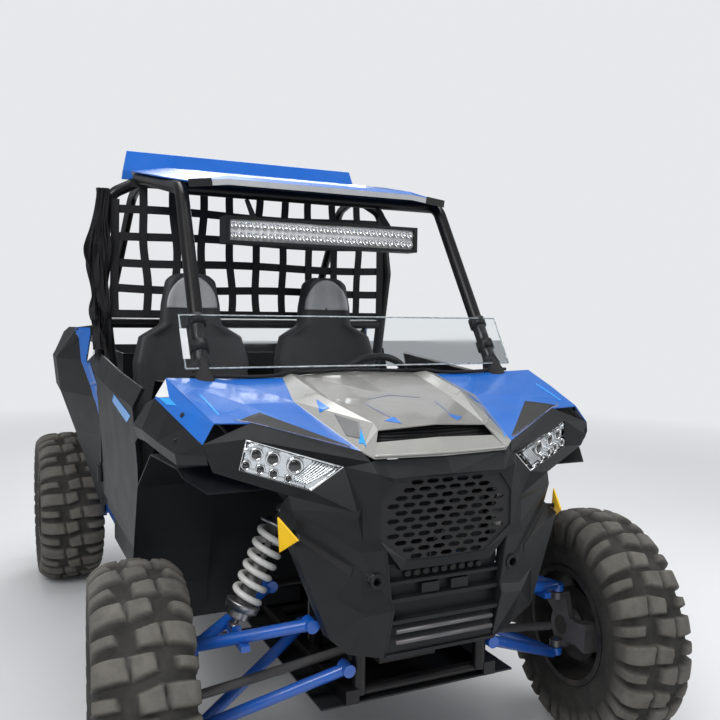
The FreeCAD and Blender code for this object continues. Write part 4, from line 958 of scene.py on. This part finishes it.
class UTV_OT_hood(bpy.types.Operator):
    """Paints the hood in its silver, pale and blue fields and adds its graphics, slot, seal and screws."""

    bl_idname = "utv.hood"
    bl_label = "Hood"

    def execute(self, context):
        self.shell()
        for name, material, *shapes in HOOD_STICKERS:
            decal(name, both_sides(shapes), material, "hood")
        self.slot()
        solid("cowl_seal", tube(smooth_line(across_middle(COWL_LINE), 90), 0.0055, 10), "webbing", "hood")
        places = [(0.585, -1.205, 1.084), (0.615, -1.120, 1.108)]
        screws = bolts(places, (0.75, -0.35, 0.56), 0.007, 0.006)
        solid("hood_screws", pair(screws), "insert_dark", "hood", smooth=False)
        return {"FINISHED"}

    def shell(self):
        """Each face takes its field from where its centre lies against the ribs' edges."""
        mesh = refined("hood", 0.0022).data
        for name in ("hood_pale", "body_blue"):
            mesh.materials.append(FINISH[name])
        centre = np.empty(len(mesh.polygons) * 3)
        mesh.polygons.foreach_get("center", centre)
        x, y, _ = centre.reshape(-1, 3).T
        x = np.abs(x)
        outer = np.interp(y, RIB_OUTER[:, 1], RIB_OUTER[:, 0])
        inner = np.interp(y, RIB_INNER[:, 1], RIB_INNER[:, 0])
        field = np.where(x > outer + 0.001, 2, np.where(x > inner, 1, 0))
        field[(y < -1.362) & (x < 0.205)] = 1
        mesh.polygons.foreach_set("material_index", field.astype(np.int32))

    def slot(self):
        """A dark plate behind the opening above the lip: a straight sweep across, with fine ribs."""
        plate("hood_slot_plate", flat_grid(SLOT_CORNERS, 6), "insert_dark", "hood", 0.002)
        ribs = []
        for k in range(4):
            share = 0.15 + 0.23 * k
            y, z, half = -1.347 + 0.026 * share, 1.047 + 0.034 * share, 0.183 - 0.017 * share
            ribs.append(tube([(-half, y, z), (0, y - 0.008, z), (half, y, z)], 0.0016, 6))
        solid("hood_slot_ribs", joined(ribs), "dark_plastic", "hood")


# Nose fittings. The reflector is the left one's three corners; slots and holes are corners in (x, z)
REFLECTOR = np.array([(0.4001, -1.3900, 0.8298), (0.4290, -1.3200, 0.8741), (0.4230, -1.3200, 0.7832)])
REFLECTOR_WALL = 0.005
BRACKET_FOOT_X = 0.380
# Side slot and pad hole: dark stickers, painted shade standing in for the insides of the openings
SIDE_SLOT = ((0.258, 0.748), (0.384, 0.834), (0.388, 0.822), (0.262, 0.726))
PAD_HOLE = ((0.212, 0.716), (0.232, 0.716), (0.232, 0.737), (0.212, 0.737))
# The lip's front edge that a thin round bead follows, smoothed, from the left to the middle
LIP_LINE = [(0.199, -1.394, 1.0225), (0.12, -1.404, 1.0225), (0.0, -1.4125, 1.0225)]


class UTV_OT_nose(bpy.types.Operator):
    """Finishes the nose: rounded edges, reflectors, side slots, pad holes, lip bead and recess parts."""

    bl_idname = "utv.nose"
    bl_label = "Nose"

    def execute(self, context):
        refined("front_fascia", 0.0022)
        refined("grille_mesh", 0.0008).data.materials[0] = FINISH["insert_dark"]
        self.reflectors()
        # The slots and holes are painted shade: dark stickers where the nose opens
        for name, shape in (("side_slots", SIDE_SLOT), ("pad_holes", PAD_HOLE)):
            decal(name, both_sides([shape]), "insert_dark", "front_fascia", "Y")
        bead = tube(smooth_line(across_middle(LIP_LINE), 40), 0.0035, 8)
        solid("lip_bead", bead, "hood_pale", "front_fascia")
        self.recess()
        return {"FINISHED"}

    def reflectors(self):
        """Amber triangles on small brackets: three corners, thickened along their own normal."""
        way = unit(np.cross(REFLECTOR[1] - REFLECTOR[0], REFLECTOR[2] - REFLECTOR[0]))
        way *= -1.0 if way[1] > 0 else 1.0
        faces = [(0, 1, 2), (5, 4, 3), (0, 3, 4, 1), (1, 4, 5, 2), (2, 5, 3, 0)]
        part = np.concatenate([REFLECTOR, REFLECTOR - way * REFLECTOR_WALL]), faces
        piece = solid("reflector_plates", pair(part), "amber", "side_reflectors", ["side_reflectors"], False)
        rounded(piece, 0.0015)
        middle = REFLECTOR.mean(axis=0) - way * REFLECTOR_WALL
        foot = np.array([BRACKET_FOOT_X, middle[1] + 0.035, middle[2] - 0.004])
        bracket = tube([foot, (foot + middle) / 2, middle], 0.006, 8)
        solid("reflector_brackets", pair(bracket), "insert_dark", "side_reflectors")

    def recess(self):
        """Small parts in the recess: a row of vents between the bars, and two pale bars."""
        profile = [(0, 0.0105), (0.8, 0.0105), (1, 0.008)]
        places = [-0.108 + 0.027 * k for k in range(9)]
        vents = [lathe((x, -1.4035, 0.7175), (x, -1.4115, 0.7175), profile, 6) for x in places]
        solid("recess_vents", joined(vents), "insert_dark", "front_fascia", smooth=False)
        bars = [tube([(-0.145, -1.421, z), (0.145, -1.421, z)], 0.006, 10) for z in (0.575, 0.547)]
        solid("recess_bars", joined(bars), "knuckle_metal", "front_fascia")


# The left lamp's corners
LAMP_IN, LAMP_OUT = np.array((0.262, -1.352, 0.992)), np.array((0.497, -1.276, 1.064))
LAMP_LOW_IN, LAMP_LOW_OUT = np.array((0.340, -1.322, 0.930)), np.array((0.512, -1.266, 0.985))
# Share from the lamp's outer end, share of its height from the top, radius
PROJECTORS = ((0.17, 0.34, 0.017), (0.35, 0.34, 0.019), (0.60, 0.36, 0.022), (0.10, 0.76, 0.013),
              (0.28, 0.76, 0.013), (0.45, 0.78, 0.013), (0.65, 0.80, 0.011))
# Profiles of a projector's ring and lens: share of the height, share of the radius
RING_PROFILE = np.array([(0, 1), (0.6, 1), (1.0, 0.88), (0.9, 0.76), (0.3, 0.68)])
LENS_PROFILE = np.array([(0, 0.72), (0.45, 0.62), (0.8, 0.40), (1.0, 0.06)])


class UTV_OT_lamps(bpy.types.Operator):
    """Fits the projector rings and lenses, the bright ribs and the clear covers of the headlamps."""

    bl_idname = "utv.lamps"
    bl_label = "Headlamps"

    def place(self, along, down, depth):
        """A point of the lamp: its four corners blended by two shares, set back by a depth."""
        high = LAMP_OUT * (1 - along) + LAMP_IN * along
        low = LAMP_LOW_OUT * (1 - along) + LAMP_LOW_IN * along
        return high * (1 - down) + low * down + np.array([0.0, depth, 0.0])

    def execute(self, context):
        out = unit(np.cross(LAMP_LOW_IN - LAMP_IN, LAMP_OUT - LAMP_IN))
        rings, lenses = [], []
        for along, down, radius in PROJECTORS:
            top = self.place(along, down, 0.016) + out * 0.0092
            rings.append(lathe(top, top + out * 0.004, RING_PROFILE * (1, radius), 24))
            lenses.append(lathe(top, top + out * 0.0045, LENS_PROFILE * (1, radius), 24))
        for k in range(7):
            along = 0.74 + 0.032 * k
            line = [self.place(along, 0.10, 0.012), self.place(along - 0.015, 0.5, 0.010),
                    self.place(along - 0.06, 0.86, 0.012)]
            rings.append(tube(smooth_line(line, 14), 0.0024, 8))
        solid("lamp_rings", pair(joined(rings)), "chrome", "headlamps")
        solid("lamp_lenses", pair(joined(lenses)), "lens_dark", "headlamps")
        shares = ((0.02, 0.03), (0.97, 0.06), (0.97, 0.94), (0.02, 0.97))
        corners = [self.place(along, down, 0.0035) for along, down in shares]
        plate("lamp_covers", pair(flat_grid(corners, 10)), "lamp_glass", "headlamps", 0.0015)
        NODES["headlamps"].data.materials[0] = FINISH["chrome"]
        return {"FINISHED"}


# Stripes: each shape's four corners in (y, z). Screws: places on the left
FENDER_STRIPE = (((0.560, 1.292), (0.455, 1.296), (0.330, 1.062), (0.405, 1.050)),
                 ((0.405, 1.050), (0.330, 1.062), (0.262, 0.837), (0.322, 0.830)),
                 ((0.322, 0.830), (0.262, 0.837), (0.185, 0.640), (0.215, 0.630)))
DOOR_STRIPE = (((-0.400, 1.070), (-0.440, 1.098), (-0.720, 1.060), (-0.650, 1.030)),)
FLARE_SCREWS = ((0.640, -1.150, 1.048), (0.662, -1.010, 1.062),
                (0.672, -0.900, 1.075), (0.598, -1.240, 1.052))


class UTV_OT_fenders(bpy.types.Operator):
    """Rounds the fenders and doors, and adds their blue stripes and screws."""

    bl_idname = "utv.fenders"
    bl_label = "Fenders and doors"

    def execute(self, context):
        for node in ("front_fenders", "rear_fenders", "door_left", "door_right"):
            refined(node, 0.0022)
        for side, end in ENDS:
            decal("fender_stripe_" + end, FENDER_STRIPE, "body_blue", "rear_fenders", "X", side)
            decal("door_stripe_" + end, DOOR_STRIPE, "graphic_light_blue", "door_" + end, "X", side)
        screws = bolts(FLARE_SCREWS, (0.35, 0.0, 0.94), 0.0075, 0.007)
        solid("flare_screws", pair(screws), "insert_dark", "front_fenders", smooth=False)
        return {"FINISHED"}


# The left front pillar's line, its boot's profile and the screen clamps' places along it
PILLAR_FOOT = np.array([0.507, -0.900, 1.165])
PILLAR_HEAD = np.array([0.487, -0.525, 1.777])
BOOT = [(0, 0.040), (0.1, 0.041), (0.2, 0.036), (0.3, 0.0375), (0.4, 0.033), (0.5, 0.0345), (0.6, 0.030),
        (0.7, 0.0315), (0.85, 0.027), (1, 0.0235)]
CLAMP = [(0, 0.0232), (0.02, 0.029), (0.98, 0.029), (1, 0.0232)]
CLAMP_PLACES = (0.105, 0.195)
CLAMP_LENGTH = 0.034
# The screen: half width, its low and high edges along the pillar, how far its face stands off
SCREEN_HALF = 0.5575
SCREEN_LOW, SCREEN_HIGH = 0.040, 0.218
SCREEN_OFF = 0.0253
# The roof's front edge, (x, z), and the left corner cap's part of it
ROOF_EDGE = ((-0.400, 1.8032), (-0.344, 1.8099), (0.344, 1.8099), (0.400, 1.8032))
ROOF_CAPS = ((0.402, 1.8030), (0.440, 1.7984), (0.478, 1.7939))


class UTV_OT_cage(bpy.types.Operator):
    """Rounds the roof, cab, bed and light bar, and adds the roof's lip and the cage's fittings."""

    bl_idname = "utv.cage"
    bl_label = "Cage, roof and screen"

    def execute(self, context):
        for node in ("roof_panel", "rear_wing", "dash", "cab_tub", "cargo_bed", "tail_lamps", "light_bar"):
            refined(node, 0.0018)
        self.roof_front()
        rise = unit(PILLAR_HEAD - PILLAR_FOOT)
        boot = lathe(PILLAR_FOOT - rise * 0.030, PILLAR_FOOT + rise * 0.075, BOOT)
        solid("pillar_boots", pair(boot), "webbing", "cage_front")
        clamps = [lathe(PILLAR_FOOT + rise * low, PILLAR_FOOT + rise * (low + CLAMP_LENGTH), CLAMP, 16)
                  for low in CLAMP_PLACES]
        solid("screen_clamps", pair(joined(clamps)), "dark_plastic", "cage_front")
        self.screen_edge(rise)
        return {"FINISHED"}

    def screen_edge(self, rise):
        """The polished rim of the screen, a thin round bead carried round the plate's four sides, and
        the pale bracket at its right end."""
        out = np.array([0.0, -rise[2], rise[1]])
        foot = PILLAR_FOOT + out * SCREEN_OFF
        low, high = foot + rise * SCREEN_LOW, foot + rise * SCREEN_HIGH
        corners = [(x, *end[1:]) for x, end in
                   ((-SCREEN_HALF, low), (SCREEN_HALF, low), (SCREEN_HALF, high), (-SCREEN_HALF, high))]
        sides = [tube(ends, 0.0024, 8) for ends in zip(corners, corners[1:] + corners[:1])]
        solid("screen_rim", joined(sides), "screen_edge", "windshield")
        path = [(-0.552, *(foot + rise * s + out * 0.0032)[1:]) for s in (0.070, 0.120, 0.170)]
        solid("screen_bracket", strap(path, (1, 0, 0), 0.020, 0.0016), "graphic_white", "windshield",
              smooth=False)

    def roof_front(self):
        """The roof's pale front lip and its dark corner caps: straps along the folded front edge."""
        edge = [(x, -0.5865, z - 0.010) for x, z in ROOF_EDGE]
        lip = strap(edge, (0, 0, 1), 0.019, 0.0024)
        solid("roof_lip", lip, "cap_silver", "roof_panel", smooth=False)
        corner = [(x, -0.5870, z - 0.008) for x, z in ROOF_CAPS]
        caps = pair(strap(corner, (0, 0, 1), 0.026, 0.0028))
        solid("roof_corner_caps", caps, "insert_dark", "roof_panel", smooth=False)


# The light bar's backing plate: half width, y, foot and top
BAR_PLATE = (0.3445, -0.5925, 1.6105, 1.6795)
# Its two rows of dishes: half width, the lower row's height and the step to the upper one
BAR_HALF = 0.342
BAR_LOW, BAR_ROW = 1.6285, 0.033
DISH = [(0.05, 0.003), (0.25, 0.005), (1.0, 0.0112), (0.97, 0.0124), (0.0, 0.0124)]
DOT = [(0, 0.0040), (0.7, 0.0032), (1, 0.001)]


class UTV_OT_light_bar(bpy.types.Operator):
    """Fills the light bar with two rows of small reflectors on a pale backing plate."""

    bl_idname = "utv.light_bar"
    bl_label = "Light bar"

    def execute(self, context):
        count = context.scene.utv.bar_lamps
        places = [(-BAR_HALF + 2 * BAR_HALF * (k + 0.5) / count, BAR_LOW + BAR_ROW * row)
                  for row in range(2) for k in range(count)]
        dishes = [lathe((x, -0.5905, z), (x, -0.5995, z), DISH, 10) for x, z in places]
        dots = [lathe((x, -0.5906, z), (x, -0.5950, z), DOT, 8) for x, z in places]
        half, y, low, high = BAR_PLATE
        back = flat_grid([(-half, y, low), (half, y, low), (half, y, high), (-half, y, high)], 3)
        plate("bar_reflector", back, "graphic_white", "light_bar", 0.001)
        solid("bar_dishes", joined(dishes), "chrome", "light_bar")
        solid("bar_dots", joined(dots), "graphic_white", "light_bar")
        return {"FINISHED"}


# Seat sections. Cushion: y, half width, underside z, dip z, bolster z. Back: z, half width, bolster y,
# dip y, rear y
SEAT_X = 0.300
CUSHION = np.array([(-0.262, 0.196, 0.612, 0.664, 0.672), (-0.225, 0.226, 0.600, 0.674, 0.706),
                    (0.020, 0.230, 0.584, 0.664, 0.700), (0.090, 0.224, 0.578, 0.656, 0.680)])
BACK = np.array([(0.640, 0.214, 0.062, 0.098, 0.150), (0.900, 0.224, 0.057, 0.106, 0.158),
                 (1.165, 0.238, 0.060, 0.112, 0.164), (1.268, 0.212, 0.084, 0.116, 0.165),
                 (1.318, 0.128, 0.098, 0.116, 0.165), (1.400, 0.122, 0.100, 0.114, 0.165),
                 (1.496, 0.104, 0.104, 0.114, 0.163), (1.528, 0.078, 0.110, 0.118, 0.158)])
# Where the sewn channels cross, as shares of the pad's length
CUSHION_CHANNELS = (0.28, 0.5, 0.72)
BACK_CHANNELS = (0.14, 0.27, 0.40, 0.53)
SEAM_WIDTH = 0.006
# Headrest cap: half width, foot and height. Seat box: x, y and z from and to
CAP_HALF, CAP_FOOT, CAP_HEIGHT = 0.104, 1.386, 0.132
BOX_X, BOX_Y, BOX_Z = (0.155, 0.445), (-0.20, 0.10), (0.4085, 0.560)


class UTV_OT_seats(bpy.types.Operator):
    """Makes the two padded seats with their sewn channels, silver headrest caps and mounts."""

    bl_idname = "utv.seats"
    bl_label = "Seats"

    def execute(self, context):
        cushion = self.pad(CUSHION, self.cushion_ring, 46, CUSHION_CHANNELS, 0.010)
        back = self.pad(BACK, self.back_ring, 96, BACK_CHANNELS, 0.008)
        for name, part in (("cushions", cushion), ("backs", back)):
            for side, end in ENDS:
                twin = part if side > 0 else mirror(part)
                piece = solid(f"seat_{name}_{end}", twin, "seat_cover", "seats", ["seats"])
        self.caps()
        self.mounts()
        return {"FINISHED"}

    def cushion_ring(self, row):
        """Eight corners round each section, from the underside up over the bolsters and the dip."""
        wide, low, dip, rim = row[:, 1], row[:, 2], row[:, 3], row[:, 4]
        across = [-wide, wide, wide + 0.004, wide - 0.026, wide - 0.092, 0.092 - wide, 0.026 - wide,
                  -wide - 0.004]
        height = [low, low, rim - 0.016, rim, dip, dip, rim, rim - 0.016]
        return np.stack([np.stack(across, 1), np.repeat(row[:, :1], 8, 1), np.stack(height, 1)], axis=-1)

    def back_ring(self, row):
        """Eight corners round each section, from the rear round the bolsters and the dip."""
        wide, wing, dip, rear = row[:, 1], row[:, 2], row[:, 3], row[:, 4]
        across = [-wide, -wide, 0.030 - wide, -0.52 * wide, 0.52 * wide, wide - 0.030, wide, wide]
        depth = [rear, wing + 0.012, wing, dip, dip, wing, wing + 0.012, rear]
        return np.stack([np.stack(across, 1), np.stack(depth, 1), np.repeat(row[:, :1], 8, 1)], axis=-1)

    def pad(self, table, ring, count, channels, groove):
        """A closed pad: the table's sections are blended row by row, each section's corners are cut
        round three times, the ends are drawn in to a crown, and sewn channels sink where a row is
        near a channel and the point faces the sitter."""
        step = np.concatenate([[0.0], np.cumsum(np.abs(np.diff(table[:, 0])))])
        even = np.linspace(0.0, 1.0, count)
        rows = np.stack([np.interp(even * step[-1], step, column) for column in table.T], axis=1)
        loops = ring(rows)
        for _ in range(3):
            after = np.roll(loops, -1, axis=1)
            loops = np.stack([0.75 * loops + 0.25 * after, 0.25 * loops + 0.75 * after], axis=2)
            loops = loops.reshape(len(rows), -1, 3)
        middle = loops.mean(axis=1, keepdims=True)
        edge = np.minimum(even, 1.0 - even) * step[-1]
        draw = np.sqrt(np.clip(1.0 - (1.0 - np.clip(edge / 0.030, 0.0, 1.0)) ** 2, 0.0, 1.0))
        loops = middle + (loops - middle) * (0.72 + 0.28 * draw)[:, None, None]
        sink = np.max([np.exp(-((even - c) * step[-1] / SEAM_WIDTH) ** 2) for c in channels], axis=0)
        x = np.abs(loops[..., 0] - middle[..., 0])
        half = x.max(axis=1, keepdims=True)
        centre = np.clip(1.0 - (x / (0.56 * half)) ** 6, 0.0, 1.0)
        seam = np.exp(-((x - 0.55 * half) / SEAM_WIDTH) ** 2)
        way = loops - middle
        front = np.clip(self.towards_sitter(ring, way) / 0.02, 0.0, 1.0)
        depth = groove * np.maximum(sink[:, None] * centre, 0.8 * seam) * front
        plump = 0.005 * front * centre * (1.0 - sink[:, None])
        loops = loops + unit(way) * (plump - depth)[..., None]
        loops[..., 0] += SEAT_X
        points, faces = capped(loops)
        return points, [tuple(reversed(f)) for f in faces]

    def towards_sitter(self, ring, way):
        """How far a point stands towards the sitter: up on a cushion, forward on a back."""
        return way[..., 2] if ring == self.cushion_ring else -way[..., 1]

    def caps(self):
        """Half-oval headrest caps: radius and angle shares over half an ellipse, laid on the back."""
        r, turn = np.meshgrid(np.linspace(0.04, 1.0, 14), np.linspace(0.0, math.pi, 40), indexing="ij")
        for side, end in ENDS:
            x = side * SEAT_X + CAP_HALF * r * np.cos(turn)
            points = np.stack([x, np.full_like(x, -0.3), CAP_FOOT + CAP_HEIGHT * r * np.sin(turn)], axis=-1)
            mesh = new_mesh("headrest_cap_" + end, points, grid_faces(14, 40))
            facing(mesh, Vector((0.0, -1.0, 0.0)))
            piece = dress(mesh.name, mesh, "cap_silver", "seats")
            lay_down(piece, bpy.data.objects["seat_backs_" + end], "Y", True, 0.0015, 0.0030)

    def mounts(self):
        """Seat boxes: four corners swept up from the floor."""
        (x0, x1), (y0, y1) = BOX_X, BOX_Y
        ring = np.array([[(x, y, z) for x, y in ((x0, y0), (x1, y0), (x1, y1), (x0, y1))] for z in BOX_Z])
        solid("seat_mounts", pair(capped(ring)), "dark_plastic", "seats", ["seats"], smooth=False)


# The rear net: strap width and wall, its foot and top, and the spacing of its straps
NET_WIDTH, NET_WALL = 0.033, 0.0016
NET_FOOT, NET_TOP = 1.3475, 1.8995
NET_UPRIGHTS, NET_STEP = 11, 0.1194
NET_ROWS, NET_ROW_FOOT, NET_ROW_STEP = 6, 1.3585, 0.1058
# The torn bundle: its strips' wall, its top and lowest foot, where it hangs, and each strip's threads
STRIP_WALL = 0.0015
BUNDLE_TOP, BUNDLE_FOOT = 1.855, 1.215
BUNDLE_X, BUNDLE_Y = -0.664, 0.160
THREADS = 5
# A whole turn, for the random starts of the nets' waves
TURN = 6.28


class UTV_OT_nets(bpy.types.Operator):
    """Weaves the rear net from webbing and hangs the torn net bundle by the pillar."""

    bl_idname = "utv.nets"
    bl_label = "Nets"

    def execute(self, context):
        self.rear()
        self.bundle()
        return {"FINISHED"}

    def rear(self):
        """Upright straps wander by a few millimetres as sums of sines; cross straps sag a little."""
        seeds = np.random.default_rng(7)
        parts, area = [], 0.0
        for k in range(NET_UPRIGHTS):
            x = NET_STEP * (k - (NET_UPRIGHTS - 1) / 2)
            top = NET_TOP if abs(x) < 0.52 else 1.9 - (abs(x) - 0.52) * 1.05
            z = np.linspace(NET_FOOT, top, 40)
            phase, bow = seeds.uniform(0, TURN, 2), seeds.uniform(0.004, 0.010)
            sway = bow * np.sin(z * 9 + phase[0]) + 0.003 * np.sin(z * 21 + phase[1])
            sway *= 1.0 if abs(x) < 0.5 else 0.3
            y = 0.1735 - 0.002 * np.abs(np.sin(z * 11 + phase[0]))
            parts.append(strap(np.stack([x + sway, y, z], axis=1), (1, 0, 0), NET_WIDTH, NET_WALL))
            area += NET_WIDTH * (top - NET_FOOT)
        for k in range(NET_ROWS):
            z = NET_ROW_FOOT + NET_ROW_STEP * k
            half = 0.6105 if z < 1.80 else 0.535
            x = np.linspace(-half, half, 60)
            dip = 0.005 * np.sin(x * 7 + k) - 0.004 * np.cos(x * 2.4)
            path = np.stack([x, np.full_like(x, 0.1762), z + dip * (0 < k < NET_ROWS - 1)], axis=1)
            parts.append(strap(path, (0, 0, 1), NET_WIDTH, NET_WALL))
            area += NET_WIDTH * 2 * half
        piece = solid("rear_net_straps", joined(parts), "webbing", "rear_net", ["rear_net"], smooth=False)

    def bundle(self):
        """Torn straps hang side by side: each path falls from the top with its own slow sway, the whole
        drawn in by a share that bulges at two heights, and ends in loose threads."""
        seeds = np.random.default_rng(11)
        parts, area = [], 0.0
        width, count = 0.030, 26
        for k in range(count):
            low = BUNDLE_FOOT + seeds.uniform(0.0, 0.26) * (k % 3 > 0)
            z = np.linspace(BUNDLE_TOP, low, 70)
            turn = seeds.uniform(0, TURN, 4)
            share = (BUNDLE_TOP - z) / 0.62
            gather = 0.30 + 0.75 * np.exp(-((z - 1.60) / 0.10) ** 2) + 0.5 * np.exp(-((z - 1.36) / 0.06) ** 2)
            lean = 0.020 * np.clip((z - 1.62) / 0.20, 0.0, 1.0)
            x = BUNDLE_X + lean + (k / (count - 1) - 0.5) * 0.075 * gather
            x = x + 0.014 * np.sin(z * 13 + turn[0]) * share
            y = BUNDLE_Y + 0.016 * np.sin(k * 2.4) * gather + 0.012 * np.sin(z * 17 + turn[1]) * share
            angle = turn[2] + 2.2 * share + 0.5 * np.sin(z * 25 + turn[3])
            across = np.stack([np.cos(angle), np.sin(angle), 0 * angle], axis=1)
            parts.append(strap(np.stack([x, y, z], axis=1), across, width, STRIP_WALL))
            area += width * (BUNDLE_TOP - low)
            for _ in range(THREADS):
                start = np.array([x[-1], y[-1], low]) + across[-1] * seeds.uniform(-0.011, 0.011)
                fall = seeds.uniform(0.015, 0.060)
                end = start + (seeds.uniform(-0.008, 0.008), seeds.uniform(-0.006, 0.006), -fall)
                parts.append(tube([start, (start + end) / 2 + (0.002, 0.001, 0), end], 0.0006, 5))
        node = "side_net_bundle"
        piece = solid("torn_net_bundle", joined(parts), "webbing", node, [node], smooth=False)


OPERATORS = (UTV_OT_stage, UTV_OT_finishes, UTV_OT_tyres, UTV_OT_wheels, UTV_OT_shocks, UTV_OT_hood,
             UTV_OT_nose, UTV_OT_lamps, UTV_OT_fenders, UTV_OT_cage, UTV_OT_light_bar, UTV_OT_seats,
             UTV_OT_nets)


class UTV_PT_panel(bpy.types.Panel):
    """Shows the settings and a button for each operator."""

    bl_label = "Side by side utv"
    bl_idname = "UTV_PT_panel"
    bl_space_type = "VIEW_3D"
    bl_region_type = "UI"
    bl_category = "Utv"

    def draw(self, context):
        for name in UtvSettings.__annotations__:
            self.layout.prop(context.scene.utv, name)
        for operator in OPERATORS:
            self.layout.operator(operator.bl_idname)


CLASSES = (UtvSettings, *OPERATORS, UTV_PT_panel)


def register():
    for item in CLASSES:
        bpy.utils.register_class(item)
    bpy.types.Scene.utv = PointerProperty(type=UtvSettings)


def unregister():
    del bpy.types.Scene.utv
    for item in reversed(CLASSES):
        bpy.utils.unregister_class(item)


def main():
    register()
    for operator in OPERATORS:
        group, name = operator.bl_idname.split(".")
        getattr(getattr(bpy.ops, group), name)()


if __name__ == "__main__":
    main()
